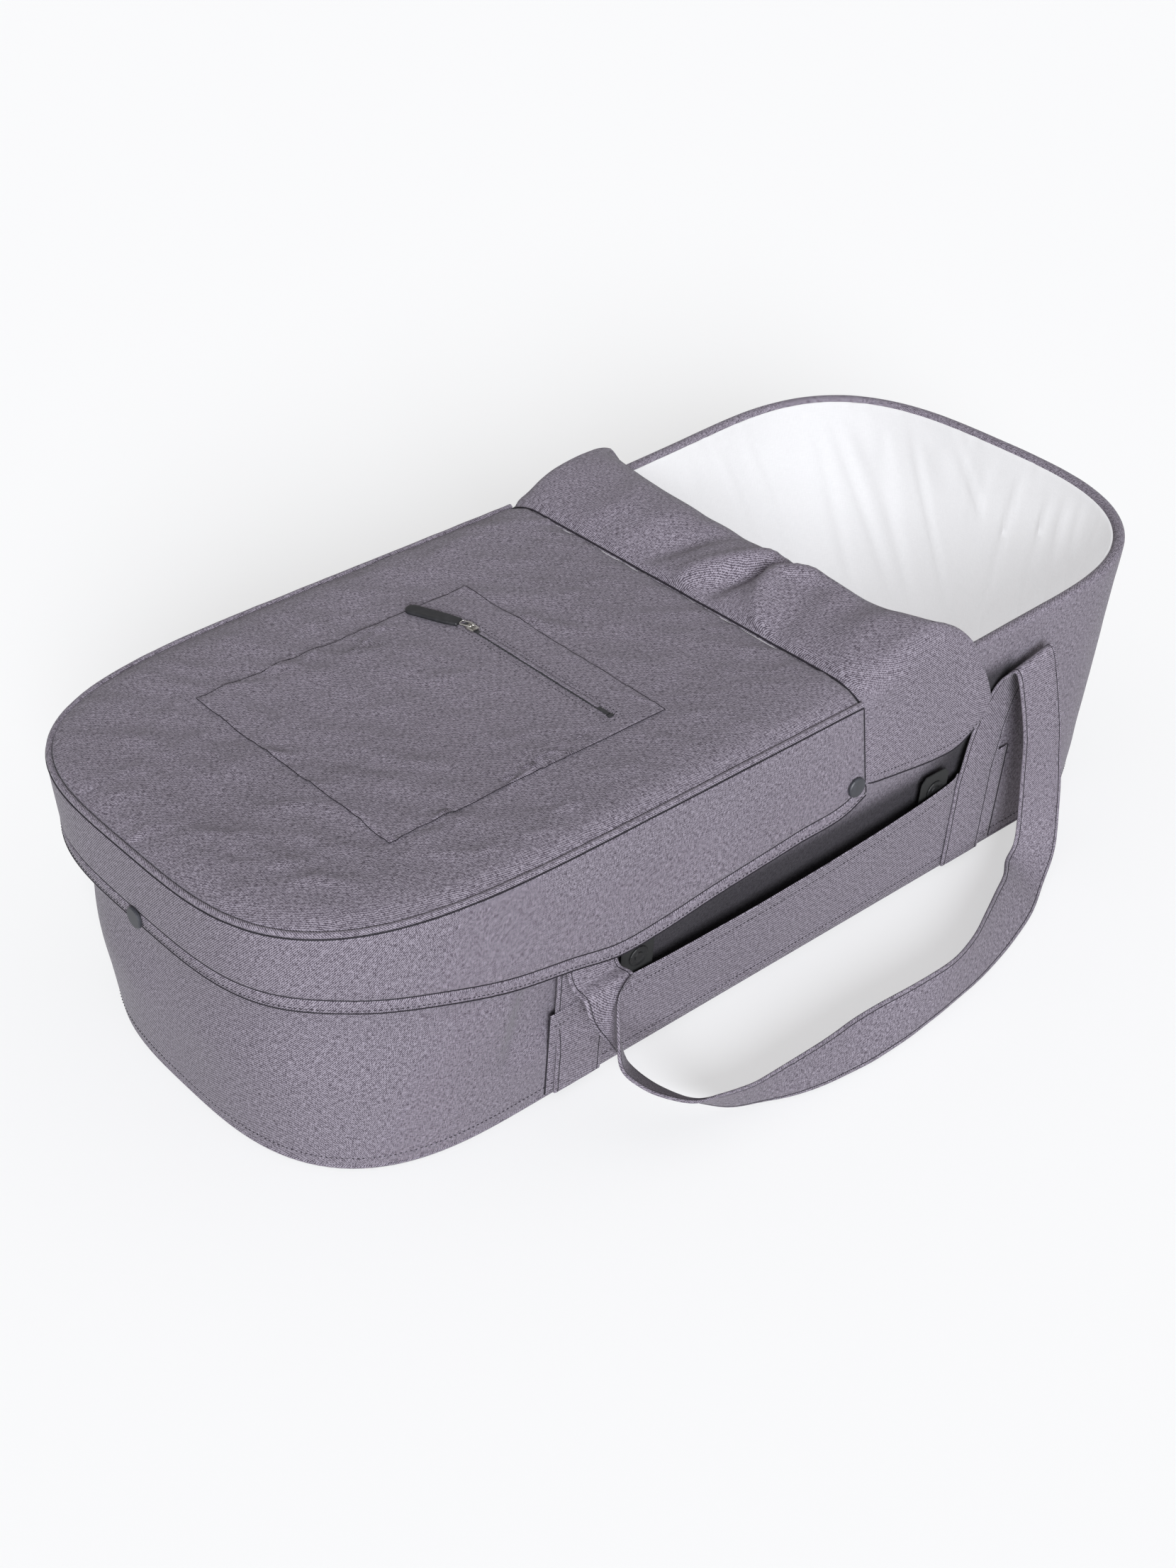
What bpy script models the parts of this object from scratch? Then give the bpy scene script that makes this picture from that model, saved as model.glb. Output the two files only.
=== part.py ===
"""Carrycot with a fitted apron, a padded wind flap, a zipped apron pocket and two strap handles.

Metres, +Z up. The origin is on the floor under the middle of the base. +X points to the head end,
-Y to the near side. Every solid is made in world places; each moving group hangs from an empty that
stands on its joint's axis.
"""
import math

import bmesh
import bpy
import numpy as np
from mathutils import Matrix, Vector

# Running and seating gaps
seat_gap = 0.0003
swing_gap = 0.0012
half_turn = math.pi

# Plan of the cot at the rim, and at the floor, where the wall has leaned in
rim_half_length = 0.4030
rim_half_width = 0.1835
rim_foot_corner = 0.258
rim_head_corner = 0.160
rim_foot_power = 3.64
rim_head_power = 2.95
rim_height = 0.203
end_lean_share = 0.08867
side_lean_share = 0.09803
end_lean = end_lean_share * rim_height
side_lean = side_lean_share * rim_height
base_half_length = rim_half_length - end_lean
base_half_width = rim_half_width - side_lean
base_foot_corner = 0.160
base_head_corner = 0.130
base_foot_power = 3.0
base_head_power = 2.8
rim_head_rise = 0.014
rim_rise_start = 0.05
rim_rise_power = 1.5
corner_steps = 12
side_steps = 6

# Layers of the wall, from outside to inside
cover_thickness = 0.0012
wall_board_thickness = 0.0015
padding_thickness = 0.005
lining_thickness = 0.0010
binding_height = 0.012
binding_round = 0.0028

# Base
base_panel_thickness = 0.0015
base_board_thickness = 0.004
piping_radius = 0.0022
base_piping_radius = 0.0016
piping_sides = 6

# Lining folds and mattress
fold_depth = 0.0030
fold_length_long = 0.062
fold_length_short = 0.041
fold_run = 0.22
fold_wave_shares = (0.6, 0.4)
lining_level_shares = (0.97, 0.72, 0.45, 0.26)
lining_fold_shares = (0.35, 0.85, 1.0, 0.0)
mattress_height = 0.036
mattress_crown = 0.005
mattress_clearance = 0.0025
mattress_round = 0.009
mattress_crown_shares = ((0.72, 0.75), (0.36, 1.0))

# Apron: skirt, top panel, piping
seam_x = 0.049
seam_side_lean = 0.008
skirt_thickness = 0.0015
skirt_over_rim = 0.0022
skirt_top = rim_height + skirt_over_rim
skirt_depth = 0.0955
skirt_foot_draw = 0.004
hem_height = 0.009
hem_extra = 0.0004
skirt_edge_shares = ((0.0, 0.590), (0.09, 0.585), (0.14, 0.62), (0.20, 0.67), (0.33, 0.815), (0.43, 0.895),
                     (0.52, 0.985), (0.60, 0.975), (0.68, 0.935), (0.86, 0.87), (0.97, 0.825), (1.0, 0.76))
panel_thickness = 0.0022
panel_edge_lift = 0.0008
panel_crown = 0.0073
panel_crown_run = 0.070
panel_across = 16

# Apron pocket and its zip
pocket_foot_x = -0.287
pocket_head_x = -0.062
pocket_near_y = -0.112
pocket_far_y = 0.100
pocket_thickness = 0.0010
zip_x = -0.0945
zip_near_y = -0.097
zip_far_y = 0.060
zip_window_width = 0.0082
zip_tape_thickness = 0.0006
zip_chain_width = 0.0036
zip_chain_height = 0.0009
tooth_pitch = 0.0030
tooth_depth = 0.0008
tooth_land_share = 0.5
stop_length = 0.0022
stop_overhang = 0.0004
slider_length = 0.0090
slider_half_width = 0.0036
slider_nose_share = 0.72
slider_plan_shares = ((-0.5, slider_nose_share), (-0.3, 1.0), (0.2, 1.0), (0.5, slider_nose_share))
slider_wall = 0.0009
bridge_width = 0.0014
bridge_height = 0.0026
bridge_length_share = 0.72
bridge_bar = 0.0007
slider_rest_y = 0.0500
link_wire_radius = 0.00045
link_length = 0.0092
link_half_width = 0.0026
link_corner_steps = 3
pull_length = 0.0430
pull_half_width = 0.0056
pull_neck_share = 0.78
pull_thickness = 0.0032
pull_bevel = 0.0006
pull_turn_degrees = 22.0

# Snaps that hold the skirt to the cot
snap_radius = 0.0075
snap_height = 0.0026
snap_edge = 0.0007
snap_sides = 24
snap_x = 0.0455
snap_drop = 0.0607
snap_z = skirt_top - snap_drop
foot_snap_drop = 0.0512
foot_snap_z = skirt_top - foot_snap_drop
stud_radius = 0.0042
stud_neck_share = 0.7
stud_height_shares = (("flange", 0.0), ("flange", 0.2), ("neck", 0.3), ("neck", 0.6),
                      ("head", 0.75), ("head", 0.9), ("neck", 1.0))

# Wind flap
flap_thickness = 0.0018
flap_padding = 0.0035
flap_rise = 0.0205
flap_edge_drop = 0.0060
flap_side_puff = 0.0018
flap_corner_radius = 0.014
flap_hem_shares = ((0.0, 0.86), (0.30, 0.93), (0.62, 1.0), (0.86, 0.98), (1.0, 0.88))
flap_depth = 0.0715
flap_side_length = 0.1335
flap_side_end_shares = ((0.0, 0.90), (0.08, 0.965), (0.25, 1.0), (0.50, 0.975), (0.75, 0.92), (1.0, 0.845))
flap_top_length = 0.0710
flap_top_far_extra = 0.0100
flap_rows_side = 6
flap_rows_corner = 4
flap_rows_top = 18
flap_columns = 9
flap_crease_depth = 0.0045
flap_crease_width = 0.014
flap_crease_slope_share = 0.3
flap_crease_shares = ((0.16, -0.50), (-0.18, -0.42), (-0.52, 0.30))
flap_swell_share = 0.8
flap_corner_end_share = 1.25
flap_corner_lift_share = 0.35
flap_side_lift_share = 0.75
flap_end_power = 6

# Side pockets, sewn strap ends and webbing inside the pockets
pocket_panel_foot_x = -0.213
pocket_panel_head_x = 0.226
pocket_panel_thickness = 0.0012
skirt_lowest_z = skirt_top - skirt_depth
pocket_edge_foot_drop = 0.0337
pocket_edge_head_drop = 0.0172
pocket_edge_foot_z = skirt_lowest_z - pocket_edge_foot_drop
pocket_edge_head_z = skirt_lowest_z - pocket_edge_head_drop
pocket_gape = 0.0105
pocket_gape_power = 0.45
pocket_base_z = 0.0045
pocket_columns = 20
pocket_level_shares = (0.0, 0.3, 0.6, 0.85, 1.0)
strap_width = 0.040
strap_thickness = 0.0024
strap_foot_x = -0.1875
strap_head_x = 0.190
strap_sewn_drop = 0.0217
strap_sewn_z = skirt_lowest_z - strap_sewn_drop
tab_width = 0.028
tab_thickness = 0.0013
tab_length = 0.038
tab_tuck = 0.010
tab_low_z = pocket_edge_foot_z - tab_tuck
tab_high_z = tab_low_z + tab_length
tab_foot_x = -0.1400
tab_head_x = 0.1450
ring_snap_radius = 0.0080
ring_snap_height = 0.0011
ring_snap_boss_share = 0.42
ring_snap_groove_share = 0.62
ring_snap_soft_share = 0.45
ring_snap_drop = 0.0150
ring_snap_z = tab_high_z - ring_snap_drop

# Strap handles: the two hinge points and the free strap between them
handle_axis_out = 0.0113
handle_axis_y = rim_half_width + swing_gap + skirt_thickness + handle_axis_out
handle_foot_x = -0.1855
handle_foot_rise = 0.0120
handle_foot_z = strap_sewn_z + handle_foot_rise
handle_head_x = 0.2150
handle_head_drop = 0.0240
handle_head_z = rim_height - handle_head_drop
handle_reach = 0.085
handle_half_span = 0.200
strap_steps = 4
# Each row: floor edge along X over the half span, out from the axis over the reach, height over the
# strap width, then the direction from that edge to the other one.
handle_route_shares = (
    (-0.948, 0.023, 1.52, 0.15, -0.15, 0.98),
    (-0.905, 0.085, 1.135, -0.36, -0.31, 0.88),
    (-0.887, 0.164, 0.95, -0.63, -0.43, 0.65),
    (-0.861, 0.257, 0.78, -0.59, -0.58, 0.56),
    (-0.824, 0.352, 0.595, -0.48, -0.68, 0.56),
    (-0.775, 0.448, 0.40, -0.37, -0.70, 0.61),
    (-0.717, 0.541, 0.23, -0.27, -0.61, 0.75),
    (-0.645, 0.636, 0.095, -0.23, -0.47, 0.85),
    (-0.554, 0.726, 0.035, -0.23, -0.35, 0.91),
    (-0.430, 0.86, 0.03, -0.05, -0.12, 0.99),
    (-0.280, 0.945, 0.03, 0.02, 0.08, 1.00),
    (-0.130, 0.985, 0.03, 0.00, 0.22, 0.97),
    (0.020, 0.985, 0.03, 0.00, 0.18, 0.98),
    (0.170, 0.965, 0.03, 0.00, 0.08, 0.99),
    (0.315, 0.925, 0.03, 0.00, 0.03, 1.00),
    (0.460, 0.875, 0.03, -0.03, 0.14, 0.99),
    (0.605, 0.805, 0.03, -0.10, 0.30, 0.95),
    (0.750, 0.710, 0.03, -0.20, 0.42, 0.89),
    (0.900, 0.585, 0.03, -0.35, 0.45, 0.80),
    (1.055, 0.400, 0.10, -0.60, 0.40, 0.60),
    (1.170, 0.275, 0.40, -0.83, 0.30, 0.42),
    (1.215, 0.200, 0.95, -0.92, 0.24, 0.32),
    (1.225, 0.150, 1.75, -0.95, 0.18, 0.22),
    (1.220, 0.110, 2.60, -0.97, 0.08, 0.14),
    (1.205, 0.070, 3.45, -0.985, 0.02, -0.02),
)


def colour_material(name, colour, roughness, metallic=0.0):
    """A Principled material with one colour."""
    material = bpy.data.materials.new(name)
    material.use_nodes = True
    shader = material.node_tree.nodes["Principled BSDF"]
    shader.inputs["Base Color"].default_value = (*colour, 1.0)
    shader.inputs["Roughness"].default_value = roughness
    shader.inputs["Metallic"].default_value = metallic
    return material


def clear_scene():
    """Takes every object out of the scene."""
    for item in list(bpy.data.objects):
        bpy.data.objects.remove(item, do_unlink=True)


def add_body(name, place):
    """An empty on a joint's axis that carries one moving group."""
    body = bpy.data.objects.new(name + "_body", None)
    bpy.context.scene.collection.objects.link(body)
    body.empty_display_size = strap_width
    body.location = place
    return body


def add_solid(name, mesh, body, material):
    """Links a finished mesh to the scene as one node of a body."""
    solid = bpy.data.objects.new(name, mesh)
    bpy.context.scene.collection.objects.link(solid)
    mesh.materials.append(material)
    solid.parent = body
    solid.matrix_parent_inverse = Matrix.Translation(-body.location)
    return solid


def add_outer_pair(shape, first, second, third, fourth):
    """Two triangles over four points, parted where they bulge outward, so that layers stay nested."""
    if (first.co + third.co).xy.length >= (second.co + fourth.co).xy.length:
        shape.faces.new((first, second, third))
        shape.faces.new((first, third, fourth))
    else:
        shape.faces.new((first, second, fourth))
        shape.faces.new((second, third, fourth))


def loft(name, loops, body, material, joined=False, sharp_degrees=40.0):
    """One closed solid through equal loops of points; joined closes the last loop onto the first."""
    loops = np.asarray(loops, dtype=float)
    count, around = loops.shape[:2]
    shape = bmesh.new()
    points = [[shape.verts.new(point) for point in loop] for loop in loops]
    for step in range(count if joined else count - 1):
        here, ahead = points[step], points[(step + 1) % count]
        for turn in range(around):
            after = (turn + 1) % around
            add_outer_pair(shape, here[turn], here[after], ahead[after], ahead[turn])
    if not joined:
        shape.faces.new(points[0])
        shape.faces.new(points[-1])
    bmesh.ops.recalc_face_normals(shape, faces=shape.faces)
    mesh = bpy.data.meshes.new(name)
    shape.to_mesh(mesh)
    shape.free()
    mesh.shade_smooth()
    mesh.set_sharp_from_angle(angle=math.radians(sharp_degrees))
    return add_solid(name, mesh, body, material)


def half_outline(half_length, half_width, foot_corner, head_corner, foot_power, head_power):
    """One side of a plan outline from the head tip to the foot tip; its y is positive."""
    turn = np.linspace(0.0, half_turn / 2, corner_steps + 1)
    head_x = half_length - head_corner * (1 - np.cos(turn) ** (2 / head_power))
    head_y = half_width * np.sin(turn) ** (2 / head_power)
    foot_x = -half_length + foot_corner * (1 - np.cos(turn) ** (2 / foot_power))
    foot_y = half_width * np.sin(turn) ** (2 / foot_power)
    head_x[-1] = half_length - head_corner
    foot_x[-1] = -half_length + foot_corner
    side_x = np.linspace(head_x[-1], foot_x[-1], side_steps + 1)[1:-1]
    side_y = np.full(side_steps - 1, half_width)
    return np.column_stack((np.concatenate((head_x, side_x, foot_x[::-1])),
                            np.concatenate((head_y, side_y, foot_y[::-1]))))


def full_outline(half):
    """The whole outline, clockwise from above: near side to the foot, far side back to the head."""
    near = half * (1, -1)
    far = half[-2:0:-1]
    return np.concatenate((near, far))


def offset_outline(outline, distance):
    """The outline moved outward by a distance, with its edges kept parallel."""
    ahead = np.roll(outline, -1, axis=0) - outline
    ahead /= np.linalg.norm(ahead, axis=1)[:, None]
    ahead_normal = np.column_stack((-ahead[:, 1], ahead[:, 0]))
    behind_normal = np.roll(ahead_normal, 1, axis=0)
    mitre = (ahead_normal + behind_normal) / (1 + np.sum(ahead_normal * behind_normal, axis=1))[:, None]
    return outline + distance * mitre


base_outline = full_outline(half_outline(base_half_length, base_half_width, base_foot_corner,
                                         base_head_corner, base_foot_power, base_head_power))
rim_outline = full_outline(half_outline(rim_half_length, rim_half_width, rim_foot_corner,
                                        rim_head_corner, rim_foot_power, rim_head_power))
wall_inside = cover_thickness + wall_board_thickness + padding_thickness + lining_thickness + 3 * seat_gap
lining_outside = wall_inside - lining_thickness
board_top = base_panel_thickness + seat_gap + base_board_thickness
mattress_base = board_top + seat_gap + lining_thickness + seat_gap
mattress_top = mattress_base + mattress_height
plateau_z = skirt_top + panel_edge_lift + panel_thickness + panel_crown
flap_axis_z = plateau_z + swing_gap
skirt_outside = swing_gap + skirt_thickness
flap_columns_along = np.sin(np.linspace(0, half_turn / 2, flap_columns + 1))
apron_half_width = rim_half_width + skirt_outside


def rim_z(x):
    """Height of the cot's rim at a place along X: level to the seam, then rising to the head."""
    share = np.clip((x - rim_rise_start) / (rim_half_length - rim_rise_start), 0, 1)
    return rim_height + rim_head_rise * share ** rim_rise_power


def wall_outline(z):
    """The cover's outside outline at a height, or at one height for each of its points."""
    share = np.broadcast_to(np.asarray(z, dtype=float) / rim_height, len(base_outline))
    return base_outline + (rim_outline - base_outline) * share[:, None]


def wall_ring(z, inside):
    """The wall's outline at a height, moved inside its cover by a distance, as 3-D points."""
    outline = offset_outline(wall_outline(z), -inside)
    return np.column_stack((outline, np.broadcast_to(z, len(outline))))


def wall_y(z):
    """Half width of the cover at a height, along the straight sides."""
    return base_half_width + side_lean_share * z


def smooth_table(place, table):
    """A value read from a table of places and values, eased between its rows."""
    places = np.array([row[0] for row in table])
    values = np.array([row[1] for row in table])
    slopes = np.gradient(values, places)
    row = np.clip(np.searchsorted(places, place) - 1, 0, len(places) - 2)
    width = places[row + 1] - places[row]
    share = np.clip((place - places[row]) / width, 0, 1)
    rest = 1 - share
    start = rest ** 2 * ((1 + 2 * share) * values[row] + share * width * slopes[row])
    end = share ** 2 * ((3 - 2 * share) * values[row + 1] - rest * width * slopes[row + 1])
    return start + end


def eased(share):
    """A share held between 0 and 1 that starts and ends level."""
    share = np.clip(share, 0, 1)
    return share * share * (3 - 2 * share)


def layer_tops():
    """Height of the wall's layers under the rim binding, at each point of the outline."""
    return rim_z(rim_outline[:, 0]) - binding_height - seat_gap


def make_wall_layer(name, outside, thickness, low_z, body, material):
    """A wall layer that runs all round the cot, open at the top and the bottom."""
    tops = layer_tops()
    rings = (wall_ring(low_z, outside), wall_ring(tops, outside),
             wall_ring(tops, outside + thickness), wall_ring(low_z, outside + thickness))
    return loft(name, np.stack(rings, axis=1), body, material, joined=True)


def make_disc(name, inside, low_z, thickness, body, material):
    """A flat sheet with the base's outline."""
    rings = (wall_ring(low_z, inside), wall_ring(low_z + thickness, inside))
    return loft(name, rings, body, material)


def make_base_piping(body, material):
    """The corded seam round the bottom edge."""
    rings = []
    for turn in np.arange(piping_sides) * 2 * half_turn / piping_sides:
        inside = base_piping_radius * (1 - math.cos(turn))
        rings.append(wall_ring(seat_gap + base_piping_radius * (1 + math.sin(turn)), inside))
    return loft("base_piping", np.stack(rings, axis=1), body, material, joined=True)


def make_rim_binding(body, material):
    """The band of cover fabric that closes the wall's top edge."""
    top = rim_z(rim_outline[:, 0])
    soft_share = 1 - math.sqrt(0.5)
    rings = []
    soft = binding_round * soft_share
    for inside, drop in ((0, binding_height), (0, binding_round), (soft, soft), (binding_round, 0),
                         (wall_inside - binding_round, 0), (wall_inside - soft, soft),
                         (wall_inside, binding_round), (wall_inside, binding_height)):
        rings.append(wall_ring(top - drop, inside))
    return loft("rim_binding", np.stack(rings, axis=1), body, material, joined=True)


def doubled(ring):
    """The same outline with a point added in the middle of each edge."""
    middle = (ring + np.roll(ring, -1, axis=0)) / 2
    return np.stack((ring, middle), axis=1).reshape(-1, ring.shape[1])


def make_lining(body, material):
    """The loose cotton lining: a cup whose wall hangs in upright folds towards the head end."""
    tops = layer_tops()
    floor_z = board_top + seat_gap
    outer_low = doubled(wall_ring(floor_z, lining_outside))
    outer_top = doubled(wall_ring(tops, lining_outside))
    around = np.concatenate(((0,), np.cumsum(np.linalg.norm(np.diff(outer_top[:, :2], axis=0), axis=1))))
    wave = (fold_wave_shares[0] * np.cos(2 * half_turn * around / fold_length_long) +
            fold_wave_shares[1] * np.cos(2 * half_turn * around / fold_length_short + 1))
    depth = fold_depth * (1 + wave) / 2 * eased(outer_top[:, 0] / fold_run)
    rings = [outer_low, outer_top]
    for level, fold in zip((1.0,) + lining_level_shares, (lining_fold_shares[0],) + lining_fold_shares):
        height = floor_z + (tops - floor_z) * level
        near_wall = doubled(wall_ring(height, wall_inside))
        inner_wall = doubled(wall_ring(height, wall_inside + fold_depth))
        share = (depth / fold_depth * fold)[:, None]
        rings.append(near_wall + (inner_wall - near_wall) * share)
    rings.append(doubled(wall_ring(floor_z + lining_thickness, wall_inside)))
    return loft("lining", rings, body, material)


def make_mattress(body, material):
    """The foam mattress, crowned and rounded, loose in the lining."""
    inside = wall_inside + mattress_clearance
    soft = mattress_round
    rings = [wall_ring(mattress_base, inside + soft / 2), wall_ring(mattress_base + soft / 2, inside),
             wall_ring(mattress_top - soft, inside), wall_ring(mattress_top - soft / 3, inside + soft / 3),
             wall_ring(mattress_top, inside + soft)]
    for share, lift in mattress_crown_shares:
        ring = wall_ring(mattress_top + mattress_crown * lift, inside + soft)
        rings.append(ring * (share, share, 1))
    return loft("mattress", rings, body, material)


def turned(name, profile, place, axis, body, material, sides=snap_sides):
    """A round piece: pairs of radius and distance along an axis, from its seat outward."""
    axis = Vector(axis).normalized()
    across = axis.orthogonal().normalized()
    upward = axis.cross(across)
    loops = []
    for radius, along in profile:
        loop = []
        for turn in np.arange(sides) * 2 * half_turn / sides:
            spoke = across * math.cos(turn) + upward * math.sin(turn)
            loop.append(Vector(place) + axis * along + spoke * radius)
        loops.append(loop)
    return loft(name, loops, body, material, sharp_degrees=30.0)


def sweep_strip(path, widths, thickness, width):
    """Loops of a flat strip with rounded edges, from centre points and width directions."""
    loops = []
    for step, (centre, across) in enumerate(zip(path, widths)):
        before = path[max(step - 1, 0)]
        after = path[min(step + 1, len(path) - 1)]
        along = (after - before).normalized()
        face = along.cross(across).normalized()
        half, edge = width / 2, thickness / 2
        section = ((half - edge, edge), (half, 0), (half - edge, -edge),
                   (edge - half, -edge), (-half, 0), (edge - half, edge))
        loops.append([centre + across * out + face * rise for out, rise in section])
    return loops


def catmull(points, steps):
    """Points of a smooth curve through the given ones, with a number of steps between each two."""
    curve = []
    ends = [points[0] * 2 - points[1]] + list(points) + [points[-1] * 2 - points[-2]]
    for row in range(len(points) - 1):
        before, start, end, after = ends[row:row + 4]
        for step in range(steps):
            share = step / steps
            curve.append(0.5 * (2 * start + (end - before) * share +
                                (2 * before - 5 * start + 4 * end - after) * share ** 2 +
                                (3 * start - before - 3 * end + after) * share ** 3))
    curve.append(points[-1].copy())
    return curve


def side_point(x, y, z, side):
    """A point of the near side, or its mirror image on the far side: side is -1 or 1."""
    return Vector((x, side * y, z))


def handle_axis():
    """Direction of the handles' hinge axis, from foot to head."""
    return Vector((handle_head_x - handle_foot_x, 0, handle_head_z - handle_foot_z)).normalized()


def make_handle(name, side, body, material):
    """The free strap of one handle, down to the floor and along it on its edge."""
    axis = handle_axis()
    centres = [side_point(handle_foot_x, handle_axis_y, handle_foot_z, side)]
    widths = [Vector(axis)]
    for along, out, up, wide_x, wide_out, wide_up in handle_route_shares:
        across = Vector((wide_x, -side * wide_out, wide_up)).normalized()
        edge = side_point(along * handle_half_span, handle_axis_y + out * handle_reach,
                          up * strap_width, side)
        centres.append(edge + across * (strap_width / 2))
        widths.append(across)
    centres.append(side_point(handle_head_x, handle_axis_y, handle_head_z, side))
    widths.append(-axis)
    path = catmull(centres, strap_steps)
    across = catmull(widths, strap_steps)
    loops = sweep_strip(path, across, strap_thickness, strap_width)
    return loft(name, loops, body, material)


def make_sewn_strip(name, strap_x, hinge_x, hinge_z, side, body, material):
    """A strap's sewn end: flat on the side pocket, then free up to the handle's hinge line."""
    offset = seat_gap + pocket_panel_thickness + seat_gap + strap_thickness / 2
    start_z = pocket_base_z
    hinge_gap = strap_thickness / 2 + seat_gap + seat_gap
    sewn_y = wall_y(strap_sewn_z) + offset
    flat = Vector((1, 0, 0))
    centres = [side_point(strap_x, wall_y(start_z) + offset, start_z, side),
               side_point(strap_x, wall_y(strap_sewn_z / 2) + offset, strap_sewn_z / 2, side),
               side_point(strap_x, sewn_y, strap_sewn_z, side)]
    widths = [flat, flat, flat]
    out = handle_axis_y - hinge_gap - sewn_y
    climb = hinge_z - strap_sewn_z
    for share_out, share_up, share_x in ((0.12, 0.45, 0.3), (0.38, 0.80, 0.7), (0.70, 0.96, 0.92)):
        centres.append(side_point(strap_x + (hinge_x - strap_x) * share_x, sewn_y + out * share_out,
                                  strap_sewn_z + climb * share_up, side))
        widths.append(flat.lerp(handle_axis(), share_x))
    centres.append(side_point(hinge_x, sewn_y + out, hinge_z, side))
    widths.append(handle_axis())
    loops = sweep_strip(catmull(centres, 2), catmull(widths, 2), strap_thickness, strap_width)
    return loft(name, loops, body, material)


def pocket_gap(x, z):
    """How far a side pocket's panel stands off the cover at a place."""
    foot_end = strap_foot_x + strap_width / 2 + seat_gap
    head_end = strap_head_x - strap_width / 2 - seat_gap
    share = np.clip((x - foot_end) / (head_end - foot_end), 0, 1)
    arch = np.sin(half_turn * share) ** pocket_gape_power if 0 < share < 1 else 0.0
    climb = np.clip((z - pocket_base_z) / (pocket_edge_head_z - pocket_base_z), 0, 1)
    return seat_gap + pocket_gape * arch * climb


def pocket_edge_z(x):
    """Height of a side pocket's upper edge."""
    share = (x - pocket_panel_foot_x) / (pocket_panel_head_x - pocket_panel_foot_x)
    return pocket_edge_foot_z + (pocket_edge_head_z - pocket_edge_foot_z) * share


def make_side_pocket(name, side, body, material):
    """A side pocket's panel: sewn down at its foot, ends and base, gaping between the straps."""
    loops = []
    mouth = np.linspace(strap_foot_x + strap_width / 2 + seat_gap,
                        strap_head_x - strap_width / 2 - seat_gap, pocket_columns)
    for x in (pocket_panel_foot_x, *mouth, pocket_panel_head_x):
        top = pocket_edge_z(x)
        outer, inner = [], []
        for level in pocket_level_shares:
            z = pocket_base_z + (top - pocket_base_z) * level
            stand_off = wall_y(z) + pocket_gap(x, z)
            inner.append(side_point(x, stand_off, z, side))
            outer.append(side_point(x, stand_off + pocket_panel_thickness, z, side))
        loops.append(outer + inner[::-1])
    return loft(name, loops, body, material)


def make_tab(name, x, side, body, material):
    """A webbing tab on the cover inside a side pocket."""
    loops = []
    soft = tab_width / 6
    wide = tab_width / 2
    for z, half in ((tab_low_z, wide), (tab_high_z - soft, wide), (tab_high_z, wide - soft)):
        near = wall_y(z) + seat_gap
        far = near + tab_thickness
        loops.append([side_point(x - half, near, z, side), side_point(x + half, near, z, side),
                      side_point(x + half, far, z, side), side_point(x - half, far, z, side)])
    return loft(name, loops, body, material)


def make_ring_snap(name, x, side, body, material):
    """The ring-shaped snap on a webbing tab."""
    axis = Vector((0, side, -side_lean_share))
    place = side_point(x, wall_y(ring_snap_z) + seat_gap + tab_thickness + seat_gap, ring_snap_z, side)
    boss = ring_snap_radius * ring_snap_boss_share
    groove = ring_snap_radius * ring_snap_groove_share
    soft = ring_snap_height * ring_snap_soft_share
    profile = ((ring_snap_radius, 0), (ring_snap_radius, ring_snap_height - soft),
               (ring_snap_radius - soft, ring_snap_height), (groove, ring_snap_height),
               (boss, soft), (boss - soft / 2, ring_snap_height))
    return turned(name, profile, place, axis, body, material, sides=16)


def foot_chain(outline, cut_x):
    """The part of an outline on the foot side of a cut across it, near side first."""
    inside = np.where(outline[:, 0] < cut_x - 2 * seam_side_lean)[0]
    first, last = inside[0], inside[-1]
    ends = []
    for index, neighbour in ((first, first - 1), (last, (last + 1) % len(outline))):
        here, there = outline[index], outline[neighbour]
        share = (cut_x - here[0]) / (there[0] - here[0])
        ends.append(here + (there - here) * share)
    return np.concatenate((ends[:1], outline[first:last + 1], ends[1:]))


def skirt_edge_z(x):
    """Height of the skirt's lower edge at a place along X."""
    apron_foot = -(rim_half_length + skirt_outside)
    share = (x - apron_foot) / (seam_x + seam_side_lean - apron_foot)
    return skirt_top - skirt_depth * smooth_table(share, skirt_edge_shares)


def seam_place(z):
    """Where the seam between the skirt and the flap runs along X, at a height on the side."""
    end_depth = skirt_depth * skirt_edge_shares[-1][1]
    return seam_x + seam_side_lean * max(skirt_top - z, 0) / end_depth


def drawn_in(x, share):
    """A skirt place along X, drawn in towards the cot at the foot end by a share of the draw."""
    corner_start = -rim_half_length + rim_foot_corner
    pull = np.clip((corner_start - x) / rim_foot_corner, 0, 1)
    return x + skirt_foot_draw * pull * share


def make_skirt(body, material):
    """The apron's side band, round the foot end and along both sides to the flap seam."""
    cut = seam_x + seam_side_lean
    inner = foot_chain(offset_outline(rim_outline, swing_gap), cut)
    outer = foot_chain(offset_outline(rim_outline, skirt_outside), cut)
    hem = foot_chain(offset_outline(rim_outline, skirt_outside + hem_extra), cut)
    loops = []
    for step, base in enumerate(outer):
        low = skirt_edge_z(base[0])
        middle = (low + skirt_top) / 2
        loop = []
        for chain, z in ((hem, low), (hem, low + hem_height), (outer, low + hem_height + hem_extra),
                         (outer, middle), (outer, skirt_top),
                         (inner, skirt_top), (inner, middle), (inner, low)):
            share = (skirt_top - z) / (skirt_top - low)
            x = seam_place(z) if step in (0, len(outer) - 1) else drawn_in(chain[step][0], share)
            loop.append((x, chain[step][1], z))
        loops.append(loop)
    return loft("apron_skirt", loops, body, material)


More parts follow.
